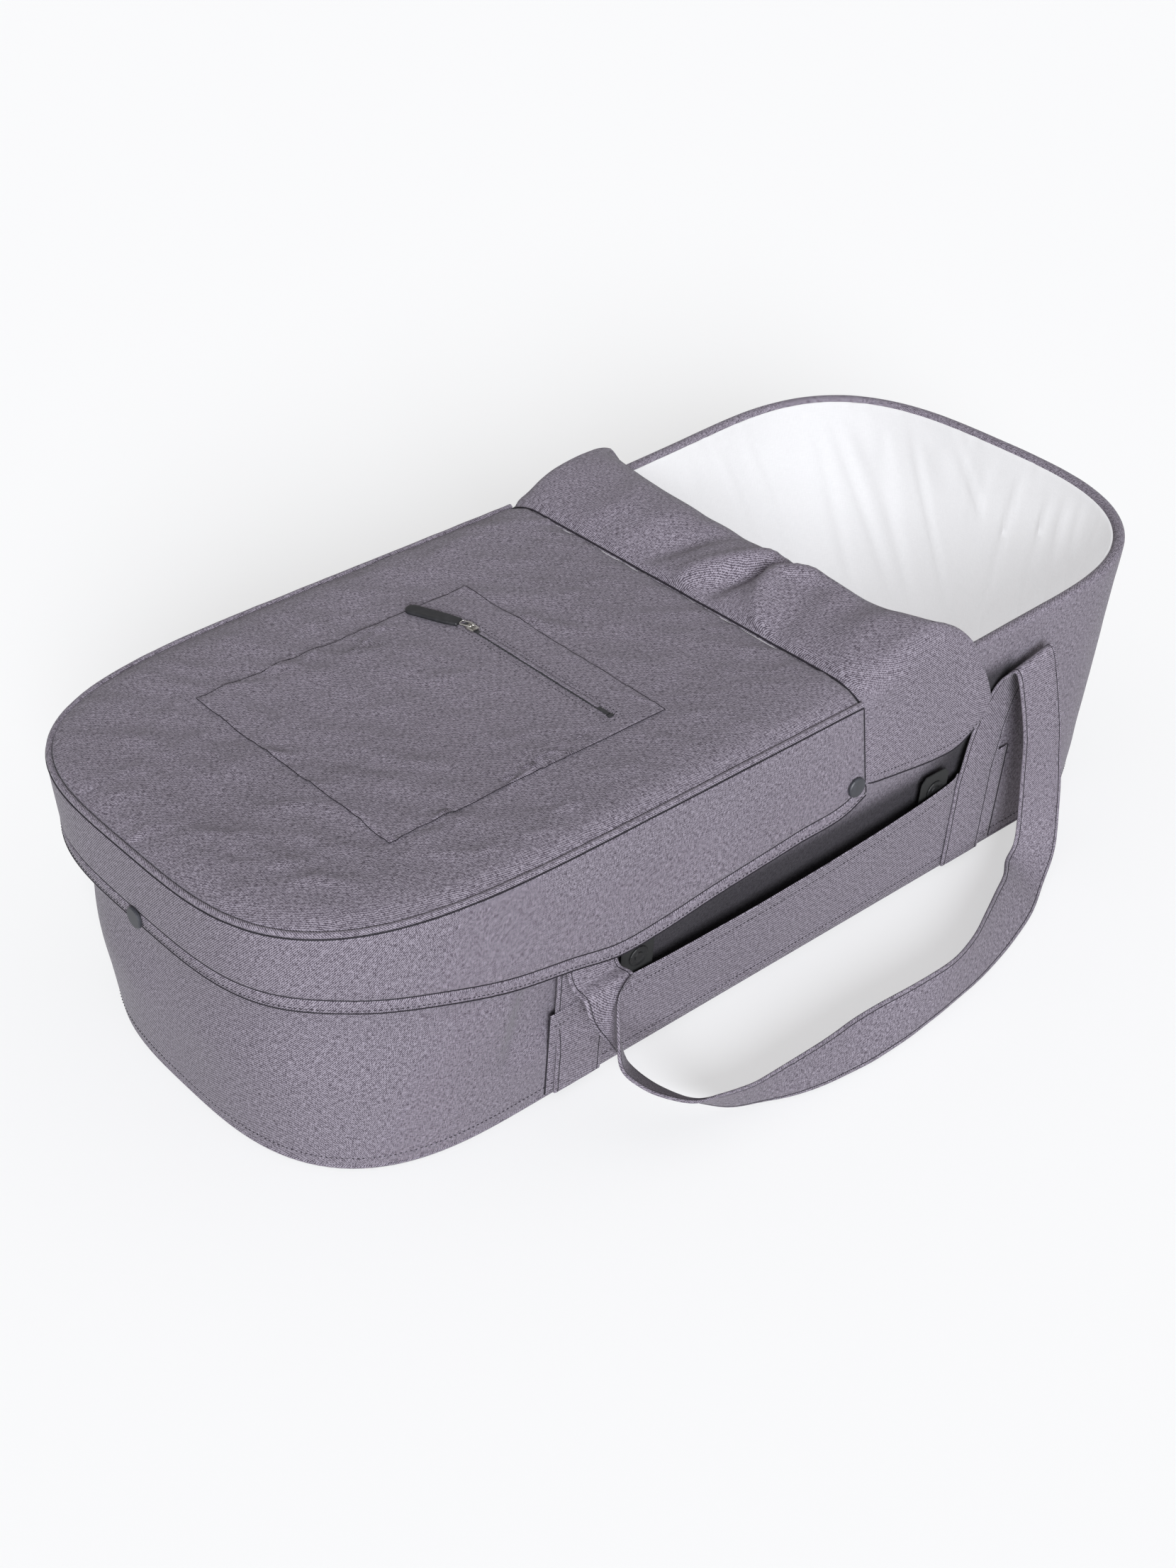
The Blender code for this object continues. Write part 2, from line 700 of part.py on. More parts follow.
def make_apron_piping(body, material):
    """The corded seam between the apron's top and its skirt."""
    centre_z = skirt_top + seat_gap + piping_radius
    chains = []
    for turn in np.arange(piping_sides) * 2 * half_turn / piping_sides:
        outline = offset_outline(rim_outline, skirt_outside + piping_radius * (math.cos(turn) - 1))
        chain = foot_chain(outline, seam_x)
        height = centre_z + piping_radius * math.sin(turn)
        chains.append(np.column_stack((chain, np.full(len(chain), height))))
    return loft("apron_piping", np.stack(chains, axis=1), body, material)


def panel_top_z(x, y):
    """Height of the apron's top: level over the middle, falling to the piping near the edge."""
    half_width = apron_half_width - piping_radius * 2 - seat_gap
    corner_start = -rim_half_length + rim_foot_corner
    along = np.clip((corner_start - x) / (rim_foot_corner + skirt_outside), 0, 1)
    across = np.abs(y) / half_width
    reach = (along ** rim_foot_power + across ** rim_foot_power) ** (1 / rim_foot_power)
    share = np.clip((1 - reach) * half_width / panel_crown_run, 0, 1)
    edge_z = skirt_top + panel_edge_lift + panel_thickness
    return edge_z + panel_crown * (1 - (1 - share) ** 2)


def make_panel(body, material):
    """The apron's crowned top panel."""
    edge = foot_chain(offset_outline(rim_outline, skirt_outside - 2 * piping_radius - seat_gap), seam_x)
    columns = edge[:len(edge) // 2]
    finer = [columns[0]]
    for start, end in zip(columns[:-1], columns[1:]):
        steps = 2 if np.linalg.norm(end - start) > panel_crown_run / 2 else 1
        finer += [start + (end - start) * step / steps for step in range(1, steps + 1)]
    shares = np.sin(np.linspace(-1, 1, panel_across + 1) * half_turn / 2)
    loops = []
    for x, y in finer:
        across = np.abs(y) * shares
        top = panel_top_z(np.full(len(across), x), across)
        upper = np.column_stack((np.full(len(across), x), across, top))
        lower = upper - (0, 0, panel_thickness)
        loops.append(np.concatenate((upper, lower[::-1])))
    return loft("apron_panel", loops, body, material)


def rectangle(x_low, x_high, y_low, y_high, z):
    """Four corners of a level rectangle."""
    corners = ((x_low, y_low), (x_high, y_low), (x_high, y_high), (x_low, y_high))
    return [Vector((x, y, z)) for x, y in corners]


def make_pocket_patch(body, material):
    """The pocket patch on the apron, with a window for its zip."""
    low = plateau_z + seat_gap
    high = low + pocket_thickness
    half = zip_window_width / 2
    outer = (pocket_foot_x, pocket_head_x, pocket_near_y, pocket_far_y)
    window = (zip_x - half, zip_x + half, zip_near_y, zip_far_y)
    rings = [rectangle(*outer, low), rectangle(*outer, high),
             rectangle(*window, high), rectangle(*window, low)]
    return loft("apron_pocket", [list(loop) for loop in zip(*rings)], body, material, joined=True)


def make_zip_tape(body, material):
    """The zip's tape inside the pocket's window."""
    low = plateau_z + seat_gap
    half = zip_window_width / 2 - seat_gap
    ends = (zip_x - half, zip_x + half, zip_near_y + seat_gap, zip_far_y - seat_gap)
    rings = [rectangle(*ends, low), rectangle(*ends, low + zip_tape_thickness)]
    return loft("zip_tape", rings, body, material)


def chain_base_z():
    """Height of the underside of the zip's teeth."""
    return plateau_z + seat_gap + zip_tape_thickness + seat_gap


def make_zip_teeth(body, material):
    """The closed chain of teeth: a ridge with a nick between each two teeth on both sides."""
    low = chain_base_z()
    start = zip_near_y + 2 * stop_length
    end = zip_far_y - 2 * stop_length
    count = int((end - start) / tooth_pitch)
    half = zip_chain_width / 2
    edge = []
    for tooth in range(count):
        y = start + tooth * tooth_pitch
        edge += [(half, y), (half - tooth_depth, y + tooth_pitch * tooth_land_share)]
    outline = [(zip_x + out, y) for out, y in edge] + [(zip_x - out, y) for out, y in reversed(edge)]
    loops = [[Vector((x, y, z)) for x, y in outline] for z in (low, low + zip_chain_height)]
    return loft("zip_teeth", loops, body, material, sharp_degrees=20.0)


def make_zip_stop(name, y, body, material):
    """One end stop of the zip, clamped across its teeth."""
    low = chain_base_z()
    half = zip_chain_width / 2 + stop_overhang
    ends = (zip_x - half, zip_x + half, y - stop_length / 2, y + stop_length / 2)
    return loft(name, [rectangle(*ends, low), rectangle(*ends, low + zip_chain_height)], body, material)


def slider_base_z():
    """Height of the underside of the zip slider's flanges."""
    return plateau_z + seat_gap + pocket_thickness + seat_gap


def bridge_place():
    """Centre of the pull's hinge pin: the space under the slider's bridge."""
    roof = slider_base_z() + zip_chain_height + slider_wall
    return Vector((zip_x, slider_rest_y, roof + bridge_bar + link_wire_radius))


def make_slider(body, material):
    """The zip slider: a channel over the teeth, with the bridge for its pull on top."""
    base = slider_base_z()
    roof = base + zip_chain_height + slider_wall
    groove = zip_chain_width / 2 + seat_gap
    groove_z = base + zip_chain_height
    loops = []
    for share, wide in slider_plan_shares:
        y = slider_rest_y + share * slider_length
        half = max(slider_half_width * wide, groove + slider_wall)
        soft = slider_wall / 2
        section = ((half, base), (half, roof - soft), (half - soft, roof),
                   (soft - half, roof), (-half, roof - soft), (-half, base),
                   (-groove, base), (-groove, groove_z), (groove, groove_z), (groove, base))
        loops.append([Vector((zip_x + out, y, z)) for out, z in section])
    slider = loft("zip_slider", loops, body, material, sharp_degrees=20.0)
    length = slider_length * bridge_length_share
    sink = slider_wall / 2
    outer = length / 2
    inner = outer - bridge_bar
    shoulder = bridge_height - bridge_bar
    arch = []
    for y, z in ((-outer, -sink), (-outer, shoulder), (-inner, bridge_height),
                 (inner, bridge_height), (outer, shoulder), (outer, -sink),
                 (inner, -sink), (inner, shoulder), (-inner, shoulder), (-inner, -sink)):
        arch.append((slider_rest_y + y, roof + z))
    half = bridge_width / 2
    sides = [[Vector((zip_x + out, y, z)) for y, z in arch] for out in (-half, half)]
    bridge = loft("slider_bridge_cutter", sides, body, material, sharp_degrees=20.0)
    bridge.hide_render = True
    bridge.display_type = "WIRE"
    union = slider.modifiers.new("bridge", "BOOLEAN")
    union.operation = "UNION"
    union.object = bridge
    return slider


def pull_directions():
    """Unit directions along and across the zip pull as it lies."""
    turn = math.radians(pull_turn_degrees)
    along = Vector((-math.sin(turn), math.cos(turn), 0))
    across = Vector((math.cos(turn), math.sin(turn), 0))
    return along, across


def make_link(body, material):
    """The wire link between the slider's bridge and the pull."""
    along, across = pull_directions()
    start = bridge_place()
    corner = link_half_width / 2
    path = []
    for quarter, (out, far) in enumerate(((1, 1), (-1, 1), (-1, 0), (1, 0))):
        middle = (across * (out * (link_half_width - corner)) +
                  along * (corner + far * (link_length - 2 * corner)))
        for step in range(link_corner_steps + 1):
            turn = half_turn / 2 * (quarter + step / link_corner_steps)
            spoke = across * (corner * math.cos(turn)) + along * (corner * math.sin(turn))
            path.append(start + middle + spoke)
    loops = []
    upward = Vector((0, 0, 1))
    for step, centre in enumerate(path):
        heading = (path[(step + 1) % len(path)] - path[step - 1]).normalized()
        sideways = heading.cross(upward)
        loops.append([centre + (sideways * math.cos(turn) + upward * math.sin(turn)) * link_wire_radius
                      for turn in np.arange(6) * half_turn / 3])
    return loft("pull_link", loops, body, material, joined=True)


def make_pull(body, material):
    """The moulded zip pull: round at its free end, narrower at the link."""
    along, across = pull_directions()
    start = bridge_place()
    begin = link_length + link_wire_radius + seat_gap
    low = chain_base_z() + zip_chain_height + seat_gap
    outline = []
    neck = pull_half_width * pull_neck_share
    for turn in np.linspace(-half_turn / 2, half_turn / 2, 9):
        outline.append((pull_half_width * math.sin(turn),
                        begin + pull_length - pull_half_width * (1 - math.cos(turn))))
    outline = outline[::-1]
    outline += [(-neck, begin + pull_bevel), (-neck + pull_bevel, begin),
                (neck - pull_bevel, begin), (neck, begin + pull_bevel)]
    middle = begin + pull_length / 2
    loops = []
    for inset, rise in ((pull_bevel, 0), (0, pull_bevel),
                        (0, pull_thickness - pull_bevel), (pull_bevel, pull_thickness)):
        thin = 1 - inset / pull_half_width
        short = 1 - 2 * inset / pull_length
        level = Vector((start.x, start.y, low + rise))
        loops.append([level + across * (out * thin) + along * (middle + (far - middle) * short)
                      for out, far in outline])
    return loft("pull_tab", loops, body, material)


def make_snap_cap(name, place, axis, body, material):
    """A snap's round cap on the outside of the skirt."""
    profile = ((snap_radius - snap_edge, 0), (snap_radius, snap_edge),
               (snap_radius, snap_height - snap_edge), (snap_radius - snap_edge, snap_height))
    return turned(name, profile, place, axis, body, material)


def make_stud(name, place, axis, height, body, material):
    """A snap's stud on the cover, up to the inside of the skirt."""
    neck = stud_radius * stud_neck_share
    radii = {"flange": snap_radius, "neck": neck, "head": stud_radius}
    profile = [(radii[part], height * share) for part, share in stud_height_shares]
    return turned(name, profile, place, axis, body, material, sides=16)


def flap_top_rise(along, across):
    """Height of the flap's top over the seam, at shares along it and across the cot."""
    swell = np.sin(np.clip(along / flap_swell_share, 0, 1) * half_turn / 2)
    drop = flap_edge_drop * np.clip((along - flap_swell_share) / (1 - flap_swell_share), 0, 1) ** 2
    creases = 0
    for place, slope in flap_crease_shares:
        centre = place + slope * (along - 1 / 2) * flap_crease_slope_share
        offset = (across - centre) * apron_half_width / flap_crease_width
        creases += flap_crease_depth * math.exp(-offset * offset) * math.sin(half_turn * along)
    return flap_rise * swell - drop - creases


def flap_side_row(side, level):
    """One row of the flap's side, at a share of its height: outside and inside points."""
    corner_z = plateau_z - flap_corner_radius
    end_x = seam_x + flap_side_length * smooth_table(level, flap_side_end_shares)
    outer, inner = [], []
    for along in flap_columns_along:
        hem_z = corner_z - flap_depth * smooth_table(along, flap_hem_shares)
        z = hem_z + (corner_z - hem_z) * level
        first_x = seam_place(z) + seat_gap
        x = first_x + (end_x - first_x) * along
        blend = eased((level - flap_side_lift_share) / (1 - flap_side_lift_share))
        lift = flap_top_rise(along, side) * blend * flap_corner_lift_share
        puff = flap_side_puff * math.sin(half_turn * along) * math.sin(half_turn * level)
        outer.append(Vector((x, side * (apron_half_width + puff), z + lift)))
        inner.append(Vector((x, side * (apron_half_width - skirt_thickness), z + lift)))
    return outer, inner


def flap_corner_row(side, turn):
    """One row of the flap's rounded shoulder, at a turn from the side to the top."""
    corner_z = plateau_z - flap_corner_radius
    side_end = flap_side_length * smooth_table(1, flap_side_end_shares)
    top_end = flap_top_length * flap_corner_end_share
    end = side_end + (top_end - side_end) * turn / (half_turn / 2)
    normal = Vector((0, side * math.cos(turn), math.sin(turn)))
    outer, inner = [], []
    for along in flap_columns_along:
        lift = flap_top_rise(along, side)
        lift *= flap_corner_lift_share + (1 - flap_corner_lift_share) * math.sin(turn)
        x = seam_place(corner_z + flap_corner_radius * math.sin(turn)) + seat_gap + end * along
        centre = Vector((x, side * (apron_half_width - flap_corner_radius), corner_z + lift))
        outer.append(centre + normal * flap_corner_radius)
        inner.append(centre + normal * (flap_corner_radius - flap_thickness))
    return outer, inner


def flap_top_row(across):
    """One row of the flap's top, at a share of the half width across the cot."""
    end_share = abs(across) ** flap_end_power
    middle_end = flap_top_length + flap_top_far_extra * max(across, 0)
    end = middle_end + (flap_top_length * flap_corner_end_share - middle_end) * end_share
    y = across * (apron_half_width - flap_corner_radius)
    outer, inner = [], []
    for along in flap_columns_along:
        padding = flap_padding * math.sin(half_turn * along) ** 0.5 if 0 < along < 1 else 0
        x = seam_x + seat_gap + end * along
        z = plateau_z + flap_top_rise(along, across)
        outer.append(Vector((x, y, z)))
        inner.append(Vector((x, y, z - flap_thickness - padding * (1 - end_share))))
    return outer, inner


def make_flap(body, material):
    """The padded wind flap: up the near side, over the top in soft folds and down the far side."""
    levels = np.linspace(0, 1, flap_rows_side + 1)
    turns = np.linspace(0, half_turn / 2, flap_rows_corner + 1)[1:-1]
    rows = [flap_side_row(-1, level) for level in levels]
    rows += [flap_corner_row(-1, turn) for turn in turns]
    rows += [flap_top_row(across) for across in np.linspace(-1, 1, flap_rows_top + 1)]
    rows += [flap_corner_row(1, turn) for turn in turns[::-1]]
    rows += [flap_side_row(1, level) for level in levels[::-1]]
    loops = [outer + inner[::-1] for outer, inner in rows]
    return loft("wind_flap", loops, body, material, sharp_degrees=60.0)


def make_part():
    """Builds the whole carrycot."""
    clear_scene()
    fabric = colour_material("grey_melange", (0.17, 0.155, 0.18), 0.9)
    cotton = colour_material("white_cotton", (0.86, 0.86, 0.87), 0.85)
    foam = colour_material("foam", (0.80, 0.80, 0.76), 0.95)
    board = colour_material("board", (0.10, 0.10, 0.11), 0.6)
    slate = colour_material("slate_plastic", (0.06, 0.062, 0.07), 0.45)
    webbing = colour_material("black_webbing", (0.012, 0.012, 0.013), 0.85)
    steel = colour_material("bright_metal", (0.80, 0.78, 0.74), 0.25, 1.0)
    rubber = colour_material("black_rubber", (0.02, 0.021, 0.024), 0.55)

    tub = add_body("tub", (0, 0, 0))
    hinge_x = -(rim_half_length + skirt_outside + snap_height + swing_gap)
    foot_edge_z = float(skirt_edge_z(-(rim_half_length + skirt_outside)))
    apron = add_body("apron", (hinge_x, 0, foot_edge_z))
    flap = add_body("wind_flap", (seam_x, 0, flap_axis_z))
    slider = add_body("zip_slider", (zip_x, slider_rest_y, slider_base_z()))
    puller = add_body("zip_puller", bridge_place())

    cover_low = seat_gap + 2 * base_piping_radius + seat_gap
    piping_inside = 2 * base_piping_radius + seat_gap
    board_inside = cover_thickness + seat_gap
    padding_inside = board_inside + wall_board_thickness + seat_gap
    make_wall_layer("outer_cover", 0, cover_thickness, cover_low, tub, fabric)
    make_base_piping(tub, fabric)
    make_disc("base_panel", piping_inside, 0, base_panel_thickness, tub, fabric)
    make_disc("base_board", padding_inside, base_panel_thickness + seat_gap, base_board_thickness,
              tub, board)
    make_wall_layer("wall_board", board_inside, wall_board_thickness, cover_low, tub, board)
    make_wall_layer("wall_padding", padding_inside, padding_thickness, board_top + seat_gap, tub, foam)
    make_lining(tub, cotton)
    make_rim_binding(tub, fabric)
    make_mattress(tub, cotton)

    for side_name, side in (("near", -1), ("far", 1)):
        make_side_pocket("side_pocket_" + side_name, side, tub, fabric)
        make_sewn_strip("strap_end_" + side_name + "_foot", strap_foot_x, handle_foot_x, handle_foot_z,
                        side, tub, fabric)
        make_sewn_strip("strap_end_" + side_name + "_head", strap_head_x, handle_head_x, handle_head_z,
                        side, tub, fabric)
        for end_name, tab_x in (("foot", tab_foot_x), ("head", tab_head_x)):
            make_tab("webbing_tab_" + side_name + "_" + end_name, tab_x, side, tub, webbing)
            make_ring_snap("ring_snap_" + side_name + "_" + end_name, tab_x, side, tub, slate)
        stud_y = wall_y(snap_z) + seat_gap
        stud_height = rim_half_width + swing_gap - seat_gap - stud_y - swing_gap / 3
        make_stud("snap_stud_" + side_name, side_point(snap_x, stud_y, snap_z, side),
                  (0, side, -side_lean_share), stud_height, tub, slate)
        cap_y = apron_half_width + hem_extra + seat_gap
        make_snap_cap("snap_cap_" + side_name, side_point(snap_x, cap_y, snap_z, side),
                      (0, side, 0), apron, slate)
        hinge = side_point(handle_foot_x, handle_axis_y, handle_foot_z, side)
        handle = add_body("handle_" + side_name, hinge)
        make_handle("handle_" + side_name, side, handle, fabric)

    wall_x = base_half_length + end_lean_share * foot_snap_z
    foot_drawn = skirt_foot_draw * (skirt_top - foot_snap_z) / (skirt_top - foot_edge_z)
    stud_height = rim_half_length + swing_gap - foot_drawn - wall_x - 3 * seat_gap
    make_stud("snap_stud_foot", (-wall_x - seat_gap, 0, foot_snap_z),
              (-1, 0, -end_lean_share), stud_height, tub, slate)
    cap_x = -(rim_half_length + skirt_outside + hem_extra + seat_gap - foot_drawn + hem_extra)
    make_snap_cap("snap_cap_foot", (cap_x, 0, foot_snap_z), (-1, 0, 0), apron, slate)

    make_skirt(apron, fabric)
    make_apron_piping(apron, fabric)
    make_panel(apron, fabric)
    make_pocket_patch(apron, fabric)
    make_zip_tape(apron, fabric)
    make_zip_teeth(apron, webbing)
    make_zip_stop("zip_stop_near", zip_near_y + stop_length, apron, steel)
    make_zip_stop("zip_stop_far", zip_far_y - stop_length, apron, steel)
    make_flap(flap, fabric)
    make_slider(slider, steel)
    make_link(puller, steel)
    make_pull(puller, rubber)


make_part()
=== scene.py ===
"""Looks for a soft grey carrycot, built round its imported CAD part.

Each piece of cloth is a fine mesh laid where the CAD solid lies, with its hems, stitching, folds and
gathers, and a woven material. Metres, +Z up, +X to the open head end, -Y to the near side.
"""
import math

import bmesh
import bpy
import numpy as np
from mathutils import Matrix, Vector, noise


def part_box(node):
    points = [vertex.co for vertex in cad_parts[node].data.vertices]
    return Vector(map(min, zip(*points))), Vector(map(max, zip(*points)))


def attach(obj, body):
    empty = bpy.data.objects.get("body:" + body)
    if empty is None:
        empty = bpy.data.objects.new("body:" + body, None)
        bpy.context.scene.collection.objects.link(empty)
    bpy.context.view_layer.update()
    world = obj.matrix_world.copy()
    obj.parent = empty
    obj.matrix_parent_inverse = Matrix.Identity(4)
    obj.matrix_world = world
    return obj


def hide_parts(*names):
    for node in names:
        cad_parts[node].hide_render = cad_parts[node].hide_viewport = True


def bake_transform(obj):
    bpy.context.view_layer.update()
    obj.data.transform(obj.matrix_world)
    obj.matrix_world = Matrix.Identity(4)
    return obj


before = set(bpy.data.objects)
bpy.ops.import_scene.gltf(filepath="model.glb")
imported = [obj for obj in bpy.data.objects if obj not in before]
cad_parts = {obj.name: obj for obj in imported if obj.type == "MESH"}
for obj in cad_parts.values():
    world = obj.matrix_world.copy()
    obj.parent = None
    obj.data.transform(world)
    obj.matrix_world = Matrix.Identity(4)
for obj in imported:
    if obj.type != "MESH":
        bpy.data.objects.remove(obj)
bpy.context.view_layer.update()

bl_info = {
    "name": "Grey carrycot",
    "version": (1, 0, 0),
    "blender": (4, 5, 0),
    "location": "3D View > Sidebar > Carrycot",
    "description": "Dresses a soft carrycot: cover, lining, apron, wind flap, pockets and strap handles",
    "category": "Object",
}

HALF_TURN = math.pi
TINY = 1e-9
TINY_AREA = 1e-12
UP = np.array((0, 0, 1.0))

# Plan outlines: half length, half width, foot corner, head corner and the two corner powers
BASE_PLAN = (0.385, 0.1636, 0.160, 0.130, 3.0, 2.8)
RIM_PLAN = (0.4030, 0.1835, 0.258, 0.160, 3.64, 2.95)
HALF_LENGTH, HALF_WIDTH, CORNER_RUN, _, CORNER_POWER, _ = RIM_PLAN
CORNER_X = -HALF_LENGTH + CORNER_RUN
RIM_HEIGHT = 0.203
RIM_RISE = 0.014
RIM_RISE_START = 0.05
WALL_DEPTH = 0.0084
LINING_OUTSIDE = 0.0087
FLOOR_HEIGHT = 0.0062
# How far the cover is drawn in at the foot end, along the sides and behind the side pockets
FOOT_DRAW = 0.0055
SIDE_DRAW = 0.0030
POCKET_DRAW = 0.0066
SKIRT_OUTSIDE = 0.0027
SKIRT_INSIDE = 0.0012
SKIRT_TOP = 0.2052
SKIRT_DEPTH = 0.0955
SKIRT_DRAW = 0.004
HEM = 0.009
# Radii of the dark seam lines, which are partly thread and partly painted shadow in the seams' grooves
SEAM_THREAD = 0.0005
HEAVY_THREAD = 0.0006
# The skirt's lower edge: shares of its length from the foot end, and of its depth
SKIRT_EDGE = ((0.0, 0.590), (0.09, 0.585), (0.14, 0.62), (0.20, 0.67), (0.33, 0.815), (0.43, 0.895),
              (0.52, 0.985), (0.60, 0.975), (0.68, 0.935), (0.86, 0.87), (0.97, 0.825), (1.0, 0.76))
SEAM_X = 0.049
SEAM_LEAN = 0.008
SEAT_GAP = 0.0003
PIPING_RADIUS = 0.0022
PANEL_DEPTH = 0.0022
PANEL_EDGE = 0.0008
PANEL_CROWN = 0.0073
PANEL_CROWN_RUN = 0.028
PLATEAU = SKIRT_TOP + PANEL_EDGE + PANEL_DEPTH + PANEL_CROWN
APRON_HALF_WIDTH = HALF_WIDTH + SKIRT_OUTSIDE
TOP_HALF_WIDTH = APRON_HALF_WIDTH - 2 * PIPING_RADIUS - SEAT_GAP
ZIP_X = -0.0945
ZIP_NEAR = -0.097
ZIP_FAR = 0.060
ZIP_WINDOW = 0.0082
# The pocket patch: its two ends along X and its two ends along Y
PATCH = (-0.287, -0.062, -0.112, 0.100)
STRAP_WIDTH = 0.040
STRAP_DEPTH = 0.0024
AXIS_Y = 0.1975
FOOT_HINGE = (-0.1855, 0.1000)
HEAD_HINGE = (0.2150, 0.1790)
STRAP_RUN = 0.200
STRAP_REACH = 0.085
# One edge of a strap from foot to head, in shares of its run along X, its reach outward and its
# width upward, and the direction across the strap there
STRAP_ROUTE = (
    (-0.948, 0.023, 1.52, 0.15, -0.15, 0.98), (-0.905, 0.085, 1.135, -0.36, -0.31, 0.88),
    (-0.887, 0.164, 0.95, -0.63, -0.43, 0.65), (-0.861, 0.257, 0.78, -0.59, -0.58, 0.56),
    (-0.824, 0.352, 0.595, -0.48, -0.68, 0.56), (-0.775, 0.448, 0.40, -0.37, -0.70, 0.61),
    (-0.717, 0.541, 0.23, -0.27, -0.61, 0.75), (-0.645, 0.636, 0.095, -0.23, -0.47, 0.85),
    (-0.554, 0.726, 0.035, -0.23, -0.35, 0.91), (-0.430, 0.86, 0.03, -0.05, -0.12, 0.99),
    (-0.280, 0.945, 0.03, 0.02, 0.08, 1.00), (-0.130, 0.985, 0.03, 0.00, 0.22, 0.97),
    (0.020, 0.985, 0.03, 0.00, 0.18, 0.98), (0.170, 0.965, 0.03, 0.00, 0.08, 0.99),
    (0.315, 0.925, 0.03, 0.00, 0.03, 1.00), (0.460, 0.875, 0.03, -0.03, 0.14, 0.99),
    (0.605, 0.805, 0.03, -0.10, 0.30, 0.95), (0.750, 0.710, 0.03, -0.20, 0.42, 0.89),
    (0.900, 0.585, 0.03, -0.35, 0.45, 0.80), (1.055, 0.400, 0.10, -0.60, 0.40, 0.60),
    (1.170, 0.275, 0.40, -0.83, 0.30, 0.42), (1.215, 0.200, 0.95, -0.92, 0.24, 0.32),
    (1.225, 0.150, 1.75, -0.95, 0.18, 0.22), (1.220, 0.110, 2.60, -0.97, 0.08, 0.14),
    (1.205, 0.070, 3.45, -0.985, 0.02, -0.02),
)


class CarrycotColours(bpy.types.PropertyGroup):
    """Colours of the carrycot's finishes."""

    cloth_light: bpy.props.FloatVectorProperty(
        name="Light yarn", description="Colour of the grey cloth's light yarn",
        default=(0.262, 0.234, 0.276), subtype="COLOR", min=0, max=1)
    cloth_dark: bpy.props.FloatVectorProperty(
        name="Dark yarn", description="Colour of the grey cloth's dark yarn",
        default=(0.058, 0.047, 0.062), subtype="COLOR", min=0, max=1)
    # Dark thread, darker than the yarn, so that the stitches and seam lines also carry painted shade
    thread: bpy.props.FloatVectorProperty(
        name="Sewing thread", description="Colour of the topstitching",
        default=(0.020, 0.017, 0.023), subtype="COLOR", min=0, max=1)
    cotton: bpy.props.FloatVectorProperty(
        name="Lining cotton", description="Colour of the lining and the mattress cover",
        default=(0.24, 0.2385, 0.243), subtype="COLOR", min=0, max=1)
    webbing: bpy.props.FloatVectorProperty(
        name="Webbing", description="Colour of the webbing tabs in the side pockets and of their ring snaps",
        default=(0.0027, 0.0027, 0.0032), subtype="COLOR", min=0, max=1)
    slate: bpy.props.FloatVectorProperty(
        name="Snap plastic", description="Colour of the snaps on the apron and the tub",
        default=(0.026, 0.027, 0.033), subtype="COLOR", min=0, max=1)
    rubber: bpy.props.FloatVectorProperty(
        name="Pull rubber", description="Colour of the zip's moulded pull",
        default=(0.012, 0.012, 0.014), subtype="COLOR", min=0, max=1)
    metal: bpy.props.FloatVectorProperty(
        name="Bright metal", description="Colour of the zip slider and its link",
        default=(0.78, 0.76, 0.72), subtype="COLOR", min=0, max=1)


class CarrycotSizes(bpy.types.PropertyGroup):
    """Sizes of the carrycot's soft detail."""

    weave_pitch: bpy.props.FloatProperty(
        name="Weave pitch", description="Distance between two yarns of the grey cloth",
        default=0.0007, min=0.0003, max=0.003, unit="LENGTH", precision=5)
    cloth_crumple: bpy.props.FloatProperty(
        name="Cloth crumple", description="How far the grey cloth's soft dents go in",
        default=0.0011, min=0, max=0.004, unit="LENGTH", precision=4)
    lining_fold: bpy.props.FloatProperty(
        name="Lining fold", description="How far the lining's upright folds stand out",
        default=0.0044, min=0, max=0.009, unit="LENGTH", precision=4)
    stitch_pitch: bpy.props.FloatProperty(
        name="Stitch pitch", description="Distance between two stitches",
        default=0.0034, min=0.002, max=0.01, unit="LENGTH", precision=4)
    stitch_length: bpy.props.FloatProperty(
        name="Stitch length", description="Length of one stitch",
        default=0.0024, min=0.001, max=0.008, unit="LENGTH", precision=4)
    stitch_radius: bpy.props.FloatProperty(
        name="Thread radius", description="Half the thickness of the sewing thread",
        default=0.00028, min=0.0001, max=0.001, unit="LENGTH", precision=5)


def sizes():
    """The scene's soft sizes."""
    return bpy.context.scene.carrycot_sizes


def half_plan(half_length, half_width, foot_corner, head_corner, foot_power, head_power, steps=120):
    """One side of a plan outline from the head tip to the foot tip."""
    turn = np.linspace(0, HALF_TURN / 2, steps)
    head_x = half_length - head_corner * (1 - np.cos(turn) ** (2 / head_power))
    head_y = half_width * np.sin(turn) ** (2 / head_power)
    foot_x = -half_length + foot_corner * (1 - np.cos(turn) ** (2 / foot_power))
    foot_y = half_width * np.sin(turn) ** (2 / foot_power)
    head_x[-1], foot_x[-1] = half_length - head_corner, -half_length + foot_corner
    side_x = np.linspace(head_x[-1], foot_x[-1], steps)[1:-1]
    side_y = np.full(steps - 2, half_width)
    return np.column_stack((np.concatenate((head_x, side_x, foot_x[::-1])),
                            np.concatenate((head_y, side_y, foot_y[::-1]))))


def closed_plan(half):
    """A whole outline from one side of it: near side to the foot, far side back to the head."""
    return np.concatenate((half * (1, -1), half[-2:0:-1]))


def resampled(points, places, along):
    """Points of a line at given places along it."""
    return np.column_stack([np.interp(places, along, column) for column in points.T])


def lengths_along(points):
    """Distance along a line at each of its points."""
    steps = np.linalg.norm(np.diff(points, axis=0), axis=1)
    return np.concatenate(((0,), np.cumsum(steps)))


